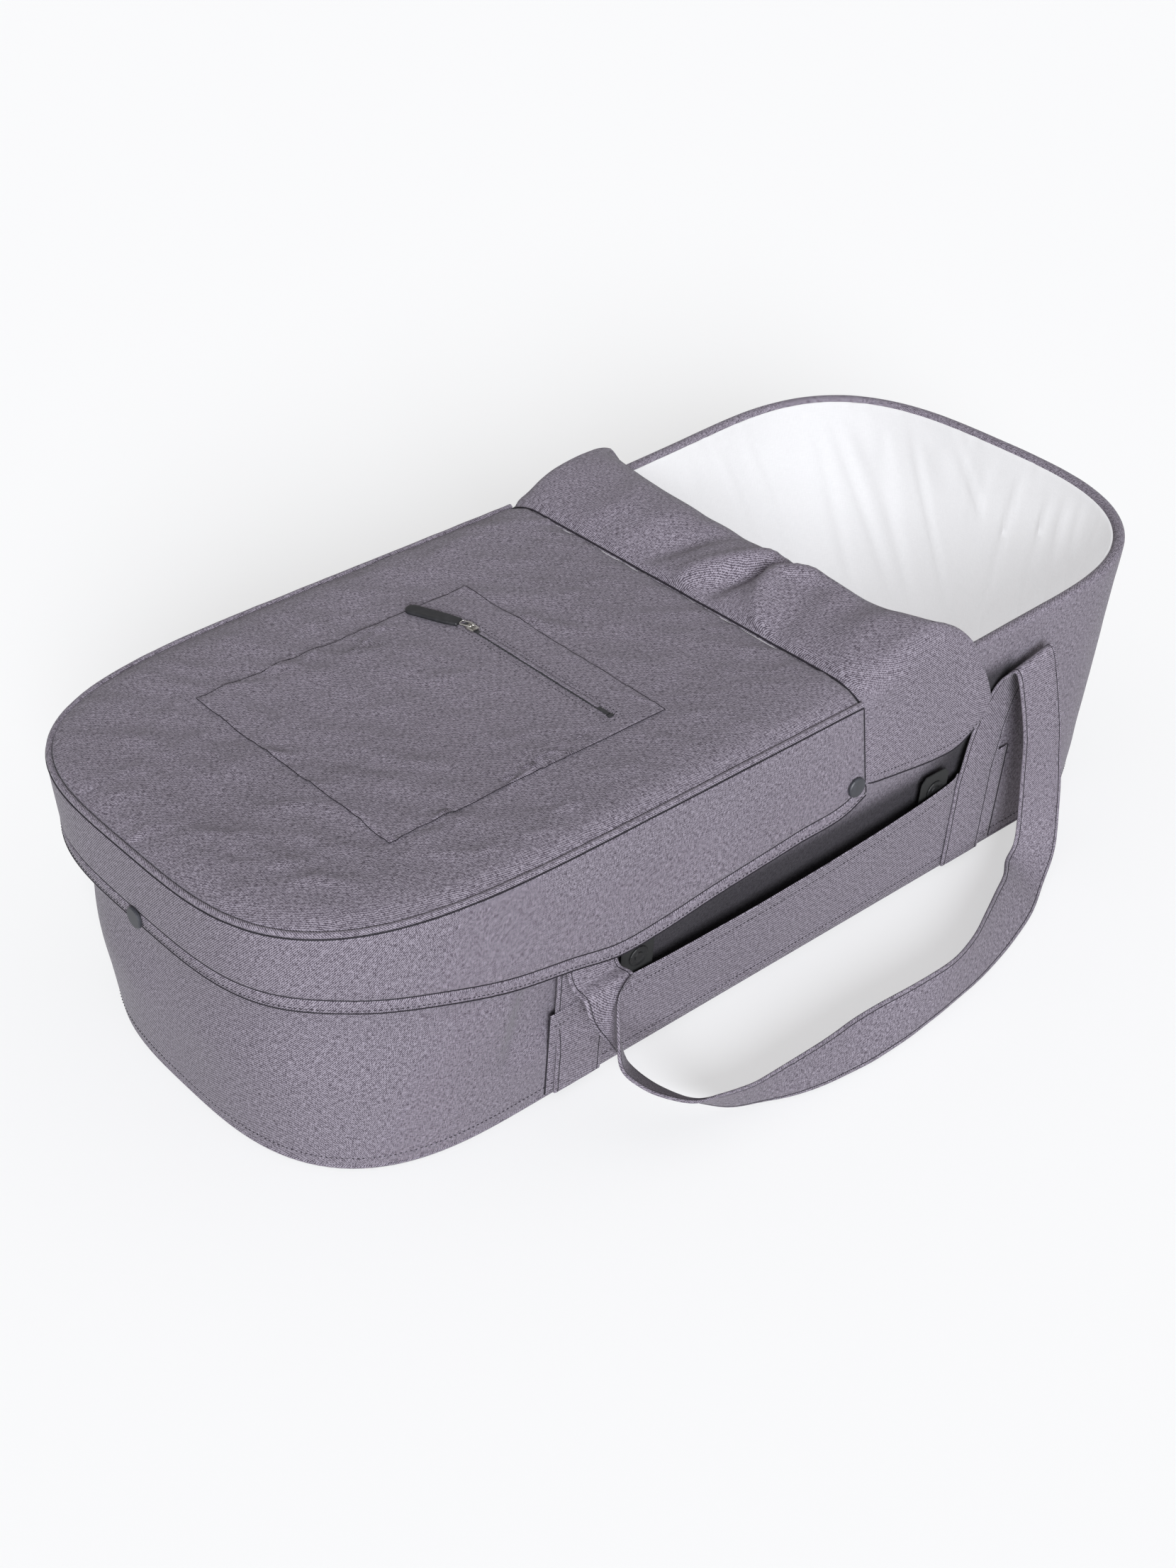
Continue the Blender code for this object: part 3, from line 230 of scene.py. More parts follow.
def matched_plans(spacing):
    """The floor's and the rim's outline with evenly spaced points that belong together."""
    base, rim = closed_plan(half_plan(*BASE_PLAN)), closed_plan(half_plan(*RIM_PLAN))
    base, rim = np.vstack((base, base[:1])), np.vstack((rim, rim[:1]))
    along = lengths_along(rim)
    places = np.linspace(0, along[-1], round(along[-1] / spacing), endpoint=False)
    return resampled(base, places, along), resampled(rim, places, along)


def moved_out(outline, distance):
    """A closed outline moved outward by a distance, which may vary along it."""
    ahead = np.roll(outline, -1, axis=0) - outline
    ahead /= np.linalg.norm(ahead, axis=1)[:, None]
    normal = np.column_stack((-ahead[:, 1], ahead[:, 0]))
    before = np.roll(normal, 1, axis=0)
    mitre = (normal + before) / (1 + np.sum(normal * before, axis=1))[:, None]
    return outline + np.broadcast_to(distance, len(outline))[:, None] * mitre


def wall_line(plans, z, inside):
    """The cot's wall at a height, a distance inside its cover, as 3-D points."""
    base, rim = plans
    z = np.broadcast_to(np.asarray(z, dtype=float), len(base))
    outline = moved_out(base + (rim - base) * (z / RIM_HEIGHT)[:, None], -np.asarray(inside))
    return np.column_stack((outline, z))


def waist(x, z):
    """How far the cover is drawn in under the skirt's hem and behind the side pockets."""
    foot = FOOT_DRAW * faded(x, -0.22, -0.35) * faded(z, 0.065, 0.125)
    sides = SIDE_DRAW * faded(x, 0.04, 0.01) * faded(z, 0.098, 0.118)
    pocket = POCKET_DRAW * faded(np.abs(x), 0.228, 0.208) * faded(z, 0.040, 0.070) * faded(z, 0.150, 0.100)
    return np.maximum(np.maximum(foot, sides), pocket) * faded(z, 0.196, 0.166)


def rim_z(x):
    """Height of the cot's rim along X."""
    share = np.clip((x - RIM_RISE_START) / (HALF_LENGTH - RIM_RISE_START), 0, 1)
    return RIM_HEIGHT + RIM_RISE * share ** 1.5


def wall_y(z):
    """Half width of the cover along the straight sides."""
    return BASE_PLAN[1] + (HALF_WIDTH - BASE_PLAN[1]) * z / RIM_HEIGHT


def eased(share):
    """A share held between 0 and 1 that starts and ends level."""
    share = np.clip(share, 0, 1)
    return share * share * (3 - 2 * share)


def faded(value, start, end):
    """How far a value has come from a start to an end, from 0 to 1 and level at both."""
    return eased((value - start) / (end - start))


def table_value(place, table):
    """A value read smoothly from rows of place and value."""
    places = np.array([row[0] for row in table])
    values = np.array([row[1] for row in table])
    slopes = np.gradient(values, places)
    row = np.clip(np.searchsorted(places, place) - 1, 0, len(places) - 2)
    width = places[row + 1] - places[row]
    share = np.clip((place - places[row]) / width, 0, 1)
    rest = 1 - share
    start = rest ** 2 * ((1 + 2 * share) * values[row] + share * width * slopes[row])
    end = share ** 2 * ((3 - 2 * share) * values[row + 1] - rest * width * slopes[row + 1])
    return start + end


SEED_STEP = 7.31


def dents(points, size, seed):
    """Smooth noise between about -1 and 1 at each point, with dents of a size."""
    flat = np.asarray(points, dtype=float).reshape(-1, 3) / size + seed * SEED_STEP
    values = [noise.noise(Vector(place)) for place in flat]
    return np.array(values).reshape(np.asarray(points).shape[:-1])


def grid_normals(points, wrap_rows=False, wrap_columns=False):
    """Unit normals of a grid of points, along the cross product of its rows and columns."""
    def slope(axis, wrap):
        """Steps from point to point along one way of the grid."""
        if wrap:
            return np.roll(points, -1, axis=axis) - np.roll(points, 1, axis=axis)
        return np.gradient(points, axis=axis)
    normals = np.cross(slope(1, wrap_columns), slope(0, wrap_rows))
    return normals / np.maximum(np.linalg.norm(normals, axis=2), TINY_AREA)[..., None]


def crumpled(points, amount, size, seed, mask, wrap_columns=False):
    """A grid pushed in and out along its normals by soft dents of two sizes."""
    broad, fine = dents(points, size, seed), dents(points, size / 2.7, seed + 3)
    depth = amount * (0.75 * broad + 0.25 * fine)
    return points + grid_normals(points, False, wrap_columns) * (depth * mask)[..., None]


STITCH_SHOULDER = 0.22
STITCH_RISE = 1.6


class Cloth:
    """Collects the faces of one sewn piece, with a map of its weave in metres."""

    def __init__(self):
        self.points, self.faces, self.weave, self.slots = [], [], [], []

    def add_grid(self, points, wrap_rows=False, wrap_columns=False, weave=None, slot=0, flip=False):
        """A sheet of four-sided faces through rows and columns of points."""
        rows, columns = points.shape[:2]
        start = len(self.points)
        self.points += [tuple(point) for point in points.reshape(-1, 3)]
        closed = points
        if wrap_columns:
            closed = np.concatenate((closed, closed[:, :1]), axis=1)
        if wrap_rows:
            closed = np.concatenate((closed, closed[:1]), axis=0)
        if weave is None:
            across = np.linalg.norm(np.diff(closed, axis=1), axis=2)
            along = np.linalg.norm(np.diff(closed, axis=0), axis=2)
            u = np.concatenate((np.zeros((closed.shape[0], 1)), np.cumsum(across, axis=1)), axis=1)
            v = np.concatenate((np.zeros((1, closed.shape[1])), np.cumsum(along, axis=0)), axis=0)
            u = np.broadcast_to(u[len(u) // 2], u.shape)
            weave = np.stack((u, v), axis=2)
        for row in range(closed.shape[0] - 1):
            for column in range(closed.shape[1] - 1):
                corners = ((row, column), (row, column + 1), (row + 1, column + 1), (row + 1, column))
                if flip:
                    corners = corners[::-1]
                self.faces.append([start + (r % rows) * columns + c % columns for r, c in corners])
                self.weave += [tuple(weave[r, c]) for r, c in corners]
                self.slots.append(slot)

    def add_shell(self, outer, inner, wrap_columns=False, weave=None, soft=0.5):
        """A sheet with thickness: outside, inside and rounded edges, joined into one closed skin."""
        out_push = soft * np.linalg.norm(outer - inner, axis=2)[..., None]
        middle = (outer + inner) / 2
        rows = [middle[:1] + edge_step(outer[0], outer[1])[None] * out_push[:1], outer,
                middle[-1:] + edge_step(outer[-1], outer[-2])[None] * out_push[-1:], inner[::-1]]
        loop = np.concatenate(rows, axis=0)
        count = len(outer)
        if weave is not None:
            weave = np.concatenate((weave[:1], weave, weave[-1:], weave[::-1], weave[:1]), axis=0)
        self.add_grid(loop, wrap_rows=True, wrap_columns=wrap_columns, weave=weave)
        if wrap_columns:
            return
        for column, inward in ((0, 1), (-1, -2)):
            push = edge_step(outer[:, column], outer[:, inward]) * out_push[:, column]
            edge = np.stack((outer[:, column], middle[:, column] + push, inner[:, column]), axis=1)
            self.add_grid(edge, flip=column == -1)
            top = np.stack((edge[0], np.broadcast_to(loop[0, column], edge[0].shape)), axis=0)
            end = np.stack((edge[-1], np.broadcast_to(loop[count + 1, column], edge[0].shape)), axis=0)
            self.add_grid(top)
            self.add_grid(end)

    def add_stitches(self, line, normals, slot=1, closed=False):
        """A row of stitches that lies on a line, each a short raised thread."""
        size = sizes()
        line, normals = np.asarray(line, dtype=float), np.asarray(normals, dtype=float)
        if closed:
            line, normals = np.vstack((line, line[:1])), np.vstack((normals, normals[:1]))
        along = lengths_along(line)
        count = int(along[-1] / size.stitch_pitch)
        places = (np.arange(count) + 0.5) * along[-1] / max(count, 1)
        half = size.stitch_length / 2
        radius = size.stitch_radius
        before, after = resampled(line, places - half, along), resampled(line, places + half, along)
        upward = resampled(normals, places, along)
        for start, end, up in zip(before, after, upward):
            run = end - start
            span = np.linalg.norm(run)
            if span < half:
                continue
            side = np.cross(run / span, up)
            side *= radius / max(np.linalg.norm(side), TINY)
            up = up * radius / max(np.linalg.norm(up), TINY)
            middle = (start + end) / 2
            base = len(self.points)
            ring = (side, STITCH_RISE * up, -side, -up)
            self.points += [tuple(start - up), tuple(end - up)]
            self.points += [tuple(middle + spoke - run * STITCH_SHOULDER) for spoke in ring]
            self.points += [tuple(middle + spoke + run * STITCH_SHOULDER) for spoke in ring]
            first, second = base + 2, base + 6
            for turn in range(4):
                after_turn = (turn + 1) % 4
                self.faces += [[base, first + after_turn, first + turn],
                               [base + 1, second + turn, second + after_turn],
                               [first + turn, first + after_turn, second + after_turn, second + turn]]
                self.weave += [(0, 0)] * 10
                self.slots += [slot] * 3

    def add_seam_and_shadow_line(self, line, normals, radius, closed=False):
        """A seam's dark line: a thread laid along it without a break, thicker than a stitch, which is partly
        the seam's dark thread and partly painted shadow in its groove or under its edge.
        """
        line = np.asarray(line, dtype=float)
        normals = np.broadcast_to(np.asarray(normals, dtype=float), line.shape)
        ahead = np.gradient(line, axis=0)
        if closed:
            ahead = np.roll(line, -1, axis=0) - np.roll(line, 1, axis=0)
        side = np.cross(ahead, normals)
        side /= np.maximum(np.linalg.norm(side, axis=1), TINY)[:, None]
        ring = tube(line, side, normals, radius, 6)
        self.add_grid(ring, wrap_rows=True, wrap_columns=closed, slot=1)
        if not closed:
            cap_ends(self, ring)

    def sewn(self, name, body, materials, stands_for=(), sharp=60):
        """Makes the piece's object, lets it ride on a body and hides the CAD nodes it stands for."""
        mesh = bpy.data.meshes.new(name)
        mesh.from_pydata(self.points, [], self.faces)
        weave = mesh.uv_layers.new(name="weave")
        weave.data.foreach_set("uv", np.asarray(self.weave, dtype=np.float32).ravel())
        for material in materials:
            mesh.materials.append(material)
        mesh.polygons.foreach_set("material_index", self.slots)
        shape = bmesh.new()
        shape.from_mesh(mesh)
        bmesh.ops.remove_doubles(shape, verts=shape.verts, dist=1e-6)
        bmesh.ops.dissolve_degenerate(shape, dist=1e-7, edges=shape.edges)
        bmesh.ops.recalc_face_normals(shape, faces=shape.faces)
        shape.to_mesh(mesh)
        shape.free()
        mesh.shade_smooth()
        mesh.set_sharp_from_angle(angle=math.radians(sharp))
        piece = bpy.data.objects.new(name, mesh)
        bpy.context.scene.collection.objects.link(piece)
        if body:
            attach(piece, body)
        if stands_for:
            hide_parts(*stands_for)
        return piece


def edge_step(edge, inward):
    """Unit steps that lead outward over a sheet's edge."""
    step = edge - inward
    return step / np.maximum(np.linalg.norm(step, axis=-1), TINY)[..., None]


OBJECT_PLACE = 3
MIX_SHARE, MIX_FIRST, MIX_SECOND, MIX_COLOUR = 0, 6, 7, 2


class Wire:
    """A node's output that works in Python sums, each of which adds a Math node."""

    def __init__(self, graph, socket):
        self.graph, self.socket = graph, socket

    def maths(self, operation, *values):
        """A Math node with these inputs."""
        sockets = dict(enumerate(values))
        return self.graph.add("ShaderNodeMath", {"operation": operation}, sockets)

    def __add__(self, other):
        return self.maths("ADD", self, other)

    __radd__ = __add__

    def __sub__(self, other):
        return self.maths("SUBTRACT", self, other)

    def __rsub__(self, other):
        return self.maths("SUBTRACT", other, self)

    def __mul__(self, other):
        return self.maths("MULTIPLY", self, other)

    __rmul__ = __mul__

    def __pow__(self, other):
        return self.maths("POWER", self, other)


class Finish:
    """One material and its nodes."""

    def __init__(self, name):
        self.material = bpy.data.materials.new(name)
        self.material.use_nodes = True
        self.nodes = self.material.node_tree.nodes
        self.links = self.material.node_tree.links
        self.shader = self.nodes["Principled BSDF"]

    def add(self, kind, settings=None, sockets=None, output=0):
        """A node of a type, with its settings and the values or links of its sockets."""
        node = self.nodes.new(kind)
        for key, value in (settings or {}).items():
            setattr(node, key, value)
        for key, value in (sockets or {}).items():
            self.join(value, node.inputs[key])
        return Wire(self, node.outputs[output])

    def join(self, value, socket):
        """Links a wire to a socket, or sets its constant."""
        if isinstance(value, Wire):
            self.links.new(value.socket, socket)
        else:
            socket.default_value = value

    def set(self, **values):
        """Sets or links the shader's sockets; underscores stand for spaces."""
        for key, value in values.items():
            self.join(value, self.shader.inputs[key.replace("_", " ")])

    def place(self):
        """Places on the piece in metres."""
        return self.add("ShaderNodeTexCoord", output=OBJECT_PLACE)

    def weave(self):
        """Places on the cloth's weave map in metres."""
        return self.add("ShaderNodeUVMap", {"uv_map": "weave"})

    def scaled(self, vector, scale):
        """A vector with each part multiplied."""
        return self.add("ShaderNodeVectorMath", {"operation": "MULTIPLY"}, {0: vector, 1: scale})

    def parts(self, vector):
        """The three parts of a vector."""
        node = self.nodes.new("ShaderNodeSeparateXYZ")
        self.join(vector, node.inputs[0])
        return [Wire(self, node.outputs[part]) for part in range(3)]

    def noise(self, vector, scale, detail=2.0, roughness=0.5):
        """Smooth noise from 0 to 1."""
        return self.add("ShaderNodeTexNoise", {"noise_dimensions": "3D"},
                        {"Vector": vector, "Scale": scale, "Detail": detail, "Roughness": roughness})

    def mixed(self, share, first, second):
        """A colour between two colours."""
        node = self.nodes.new("ShaderNodeMix")
        node.data_type = "RGBA"
        self.join(share, node.inputs[MIX_SHARE])
        self.join(first, node.inputs[MIX_FIRST])
        self.join(second, node.inputs[MIX_SECOND])
        return Wire(self, node.outputs[MIX_COLOUR])

    def between(self, value, low, high):
        """A value's place between two limits, held from 0 to 1."""
        return self.add("ShaderNodeMapRange", {"interpolation_type": "SMOOTHSTEP", "clamp": True},
                        {"Value": value, "From Min": low, "From Max": high, "To Min": 0.0, "To Max": 1.0})

    def raised(self, height, distance, strength=1.0):
        """A bump made from a height."""
        return self.add("ShaderNodeBump", None,
                        {"Height": height, "Distance": distance, "Strength": strength})


def opaque(colour):
    """A colour with its alpha."""
    return (*colour, 1.0)


def toned(colour, share):
    """A colour made darker or paler by a share."""
    return tuple(part * share for part in colour)


# Near-black painted into the wall cloth where it lies in shade behind the side pockets
PAINTED_SHADE_COLOUR = (0.004, 0.003, 0.005)
# Painted light: the lining's and the mattress's cotton glows
COTTON_GLOW = 2.08
FLOOR_GLOW = 0.52


def painted_pocket_shade(finish, place):
    """Painted shade on the tub's wall, from 0 to 1: darker down toward each side pocket's mouth and at the
    pocket's head end, where the skirt and the pocket shade the wall.
    """
    x, _, z = finish.parts(place)
    beside = finish.between(x, -0.160, -0.145) * finish.between(x, 0.215, 0.205)
    depth = finish.between(z, 0.120, 0.092) ** 1.8
    # Painted shade at the head end of each pocket, beside the webbing tab
    corner = finish.between(x, 0.130, 0.170) * finish.between(z, 0.188, 0.168)
    return (depth + corner - depth * corner) * beside


def melange_cloth(name, light, dark, pitch, painted_shade=0.0, sheen=0.10):
    """Two-tone woven polyester: slubby warp and weft yarns crossed by fine twill ribs, with painted shade
    mixed in where painted_shade is given.
    """
    finish = Finish(name)
    weave = finish.weave()
    place = finish.place()
    across, along = 1 / pitch, 1 / (pitch * 5)
    warp = finish.noise(finish.scaled(weave, (across, along, 1)), 1.0, 1.5, 0.6)
    weft = finish.noise(finish.scaled(weave, (along, across, 1)), 1.0, 1.5, 0.6)
    ribs = finish.add("ShaderNodeTexWave", {"wave_type": "BANDS", "bands_direction": "DIAGONAL"},
                      {"Vector": weave, "Scale": 0.26 / pitch, "Distortion": 1.6, "Detail": 1.0,
                       "Detail Scale": 2.0, "Detail Roughness": 0.5})
    patches = finish.noise(place, 7.0, 3.0, 0.6)
    yarn = warp * 0.36 + weft * 0.36 + ribs * 0.14 + patches * 0.03
    shade = finish.between(yarn, 0.382, 0.508)
    colour = finish.mixed(shade, opaque(dark), opaque(light))
    # Painted shade: the cloth darkens toward the side pockets' mouths
    if painted_shade:
        colour = finish.mixed(painted_pocket_shade(finish, place) * painted_shade, colour, opaque(PAINTED_SHADE_COLOUR))
    height = warp * 0.3 + weft * 0.3 + ribs * 0.4
    bump = finish.raised(height, 0.0005, 0.55)
    rough = 0.80 + 0.14 * finish.noise(place, 30.0, 2.0)
    finish.set(Base_Color=colour, Roughness=rough, Normal=bump,
               Sheen_Weight=sheen, Sheen_Roughness=0.45, Specular_IOR_Level=0.25)
    return finish.material


def cotton_cloth(name, colour):
    """Fine white cotton with a plain weave and faint slubs, which glows with painted light so that its shaded
    folds stay bright.
    """
    finish = Finish(name)
    weave = finish.weave()
    warp = finish.noise(finish.scaled(weave, (2400, 150, 1)), 1.0, 1.0)
    weft = finish.noise(finish.scaled(weave, (150, 2400, 1)), 1.0, 1.0)
    place = finish.place()
    soft = finish.noise(place, 26.0, 3.0)
    shade = finish.between(warp * 0.4 + weft * 0.4 + soft * 0.2, 0.38, 0.62)
    colours = finish.mixed(shade, opaque(toned(colour, 0.955)), opaque(colour))
    bump = finish.raised(warp * 0.4 + weft * 0.4 + soft * 1.2, 0.0004, 0.6)
    finish.set(Base_Color=colours, Roughness=0.78 + 0.12 * soft, Normal=bump, Sheen_Weight=0.15,
               Specular_IOR_Level=0.3, Emission_Color=colours, Emission_Strength=COTTON_GLOW)
    return finish.material


def webbing_cloth(name, colour):
    """Black webbing with a pebbly, slightly shiny weave."""
    finish = Finish(name)
    weave = finish.weave()
    cells = finish.add("ShaderNodeTexVoronoi", {"feature": "F1"}, {"Vector": weave, "Scale": 620.0})
    grain = finish.noise(weave, 1500.0, 2.0)
    shade = finish.between(cells + grain * 0.3, 0.2, 1.0)
    bump = finish.raised(1 - cells + grain * 0.2, 0.0011, 0.9)
    finish.set(Base_Color=finish.mixed(shade, opaque(toned(colour, 2.2)), opaque(colour)), Normal=bump,
               Roughness=0.6 + 0.2 * grain, Specular_IOR_Level=0.2)
    return finish.material


def sewing_thread(name, colour):
    """Twisted sewing thread."""
    finish = Finish(name)
    place = finish.place()
    twist = finish.noise(place, 2600.0, 1.0)
    finish.set(Base_Color=finish.mixed(twist, opaque(toned(colour, 0.55)), opaque(colour)),
               Roughness=0.55 + 0.2 * twist, Normal=finish.raised(twist, 0.0002, 0.6),
               Specular_IOR_Level=0.2)
    return finish.material


def moulded_plastic(name, colour, roughness, grain=0.00006):
    """Moulded plastic or rubber with a fine spark-eroded grain and handling marks."""
    finish = Finish(name)
    place = finish.place()
    fine = finish.noise(place, 3200.0, 2.0)
    marks = finish.noise(place, 220.0, 3.0)
    paler = tuple(min(1.0, part * 1.35 + 0.004) for part in colour)
    finish.set(Base_Color=finish.mixed(finish.between(marks, 0.4, 0.75), opaque(colour), opaque(paler)),
               Roughness=roughness - 0.06 + 0.14 * marks, Normal=finish.raised(fine, grain, 0.7),
               Specular_IOR_Level=0.5)
    return finish.material


def cast_metal(name, colour):
    """Bright cast metal with soft polishing marks."""
    finish = Finish(name)
    place = finish.place()
    marks = finish.noise(finish.scaled(place, (1, 7, 1)), 900.0, 3.0)
    worn = finish.noise(place, 300.0, 2.0)
    polish = finish.between(worn, 0.35, 0.7)
    finish.set(Base_Color=finish.mixed(polish, opaque(toned(colour, 0.72)), opaque(colour)), Metallic=1.0,
               Roughness=0.20 + 0.16 * marks, Normal=finish.raised(marks, 0.00004, 0.5))
    return finish.material


def paper_board(name):
    """Dark stiffening board inside the walls and the base."""
    finish = Finish(name)
    place = finish.place()
    fibres = finish.noise(finish.scaled(place, (1, 4, 1)), 160.0, 4.0)
    finish.set(Base_Color=finish.mixed(fibres, (0.07, 0.07, 0.075, 1), (0.13, 0.13, 0.135, 1)),
               Roughness=0.6 + 0.15 * fibres, Normal=finish.raised(fibres, 0.0003, 0.5))
    return finish.material


def finish_named(name):
    """A material of the scene by its name."""
    return bpy.data.materials[name]


def cloth_finishes():
    """The grey cloth and its sewing thread."""
    return [finish_named("grey_melange_cloth"), finish_named("sewing_thread")]


class FinishOperator(bpy.types.Operator):
    """Makes the carrycot's materials and gives them to the CAD's hard pieces."""

    bl_idname = "carrycot.finishes"
    bl_label = "Finishes"

    def execute(self, context):
        colours = context.scene.carrycot_colours
        pitch = context.scene.carrycot_sizes.weave_pitch
        melange_cloth("grey_melange_cloth", colours.cloth_light, colours.cloth_dark, pitch)
        # The wall's cloth, with painted shade beside the side pockets
        melange_cloth("grey_melange_wall_painted_shade", colours.cloth_light, colours.cloth_dark, pitch, painted_shade=0.86)
        cotton_cloth("white_cotton_cloth", colours.cotton)
        webbing_cloth("black_webbing", colours.webbing)
        sewing_thread("sewing_thread", colours.thread)
        sewing_thread("white_thread", (0.86, 0.86, 0.87))
        slate = moulded_plastic("slate_snap_plastic", colours.slate, 0.48)
        ring = moulded_plastic("black_snap_plastic", colours.webbing, 0.58)
        moulded_plastic("black_pull_rubber", colours.rubber, 0.46)
        metal = cast_metal("bright_zip_metal", colours.metal)
        teeth = moulded_plastic("black_zip_coil", (0.02, 0.02, 0.022), 0.42)
        board = paper_board("stiffening_board")
        for name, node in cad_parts.items():
            if name.startswith("ring_snap"):
                finish = ring
            elif name.startswith("snap_"):
                finish = slate
            elif name in ("zip_slider", "pull_link"):
                finish = metal
            elif name.startswith("zip_stop") or name == "zip_teeth":
                finish = teeth
            elif name in ("base_board", "wall_board"):
                finish = board
            else:
                continue
            node.data.materials.clear()
            node.data.materials.append(finish)
        return {"FINISHED"}


class CoverOperator(bpy.types.Operator):
    """Makes the tub's padded cover: up the outside, over the soft rim and down its hidden back."""

    bl_idname = "carrycot.cover"
    bl_label = "Padded cover"

    def execute(self, context):
        plans = matched_plans(0.0065)
        top = rim_z(plans[1][:, 0])
        low, soft, skin, seam_z = 0.0040, 0.0034, 0.0012, 0.011
        rows, mask = [], []
        for level in np.linspace(0, 1, 36):
            z = low + (top - soft - low) * level
            rows.append(wall_line(plans, z, waist(plans[1][:, 0], z)))
            mask.append(min(1.0, level * 8, 0.35 + (1 - level) * 5))
        for turn in np.radians((25, 50, 70, 90)):
            z, inside = top - soft * (1 - math.sin(turn)), soft * (1 - math.cos(turn))
            rows.append(wall_line(plans, z, inside))
            mask.append(0.35)
        for turn in np.radians((90, 65, 40, 15, 0)):
            z, inside = top - soft * (1 - math.sin(turn)), WALL_DEPTH - soft * (1 - math.cos(turn))
            rows.append(wall_line(plans, z, inside))
            mask.append(0.25)
        points = np.stack(rows)
        points = crumpled(points, sizes().cloth_crumple, 0.060, 1.0, np.array(mask)[:, None], True)
        back = WALL_DEPTH - skin
        inner = [wall_line(plans, top - 0.006, WALL_DEPTH - 0.0002)]
        inner += [wall_line(plans, top - drop, back) for drop in (0.011, 0.03)]
        inner += [wall_line(plans, z, back) for z in (0.12, 0.06, 0.0070)]
        inner.append(wall_line(plans, low + 0.0004, WALL_DEPTH - 0.0040))
        points = np.concatenate((points, np.stack(inner)))
        cloth = Cloth()
        cloth.add_grid(points, wrap_rows=True, wrap_columns=True)
        seam = wall_line(plans, seam_z, -0.0001)
        outward = seam - wall_line(plans, seam_z, 0.001)
        cloth.add_stitches(seam, outward, closed=True)
        # The cover's cloth has painted shade behind the side pockets
        cloth.sewn("tub_cover", "tub", [finish_named("grey_melange_wall_painted_shade"), finish_named("sewing_thread")],
                   ("outer_cover", "rim_binding", "wall_board", "wall_padding"))
        return {"FINISHED"}


def tube(line, side, upward, radius, turns=10):
    """Rows of points round a cord: one row for each turn, one column for each place on the line."""
    angles = np.arange(turns) * 2 * HALF_TURN / turns
    return np.stack([line + side * (radius * math.cos(angle)) + upward * (radius * math.sin(angle))
                     for angle in angles])


class BaseOperator(bpy.types.Operator):
    """Makes the underside: the base cloth and the corded seam round it."""

    bl_idname = "carrycot.base"
    bl_label = "Base"

    def execute(self, context):
        plans = matched_plans(0.008)
        radius = 0.0016
        middle = wall_line(plans, radius + SEAT_GAP, radius)
        side = wall_line(plans, radius + SEAT_GAP, 0) - middle
        side /= np.linalg.norm(side, axis=1)[:, None]
        cord = Cloth()
        cord.add_grid(tube(middle, side, UP, radius), wrap_rows=True, wrap_columns=True)
        cord.sewn("base_cord", "tub", cloth_finishes(), ("base_piping",))
        self.make_panel(plans, 2 * radius + SEAT_GAP)
        return {"FINISHED"}

    def make_panel(self, plans, inside):
        """The cloth under the floor, inside its cord, with a row of stitches round it."""
        thick, seam_inset, bulge = 0.0015, 0.008, 1.0006
        edge = wall_line(plans, 0, inside)
        shares = np.linspace(0, 1, 26)
        lower = np.stack([edge * (share, share, 0) for share in shares])
        upper = lower + (0, 0, thick)
        panel = Cloth()
        flat = np.concatenate((lower[..., :2], lower[:, :1, :2]), axis=1)
        panel.add_grid(lower, wrap_columns=True, weave=flat, flip=True)
        panel.add_grid(upper, wrap_columns=True, weave=flat)
        wall = np.stack((lower[-1], (lower[-1] + upper[-1]) / 2 * (bulge, bulge, 1), upper[-1]))
        panel.add_grid(wall, wrap_columns=True)
        line = wall_line(plans, 0, inside + seam_inset) + (0, 0, 0.0002)
        panel.add_stitches(line, np.broadcast_to(-UP, line.shape), closed=True)
        panel.sewn("base_cloth", "tub", cloth_finishes(), ("base_panel",))


def ripples(around, pitch, along):
    """Smooth noise round a line, with waves of a pitch, at one place down the cloth."""
    drawn = np.column_stack((around / pitch, np.full(len(around), along), np.zeros(len(around))))
    return np.array([noise.noise(Vector(place)) for place in drawn])


def lining_depth(line, level):
    """How far the lining's folds stand in at a level: short gathers at the top, long folds below."""
    around = lengths_along(line)
    fold_pitch, broad_pitch, gather_pitch = 0.034, 0.085, 0.0085
    lean = 0.44 * fold_pitch * (1 - level)
    long_fold = ripples(around + lean, fold_pitch, (1 - level) * 0.9)
    long_fold = np.clip(1 - np.abs(long_fold) * 4.2, 0, 1) ** 1.3
    wide = ripples(around, broad_pitch, level * 0.8 + 4) * 0.5 + 0.35
    pucker = ripples(around, gather_pitch, level * 6.0) * 0.5 + 0.5
    near_top = np.exp(-(1 - level) * 9)
    body = eased((1 - level) * 5) * eased(level * 2.4)
    away = (line[:, 1] - 0.012 - 0.010 * level) / 0.0016
    seam = np.where(line[:, 0] > 0, np.exp(-away * away), 0)
    folds = (long_fold * 0.75 + wide * 0.45) * body
    return folds + pucker * 0.42 * near_top - seam * 0.15 * eased(level * 8)


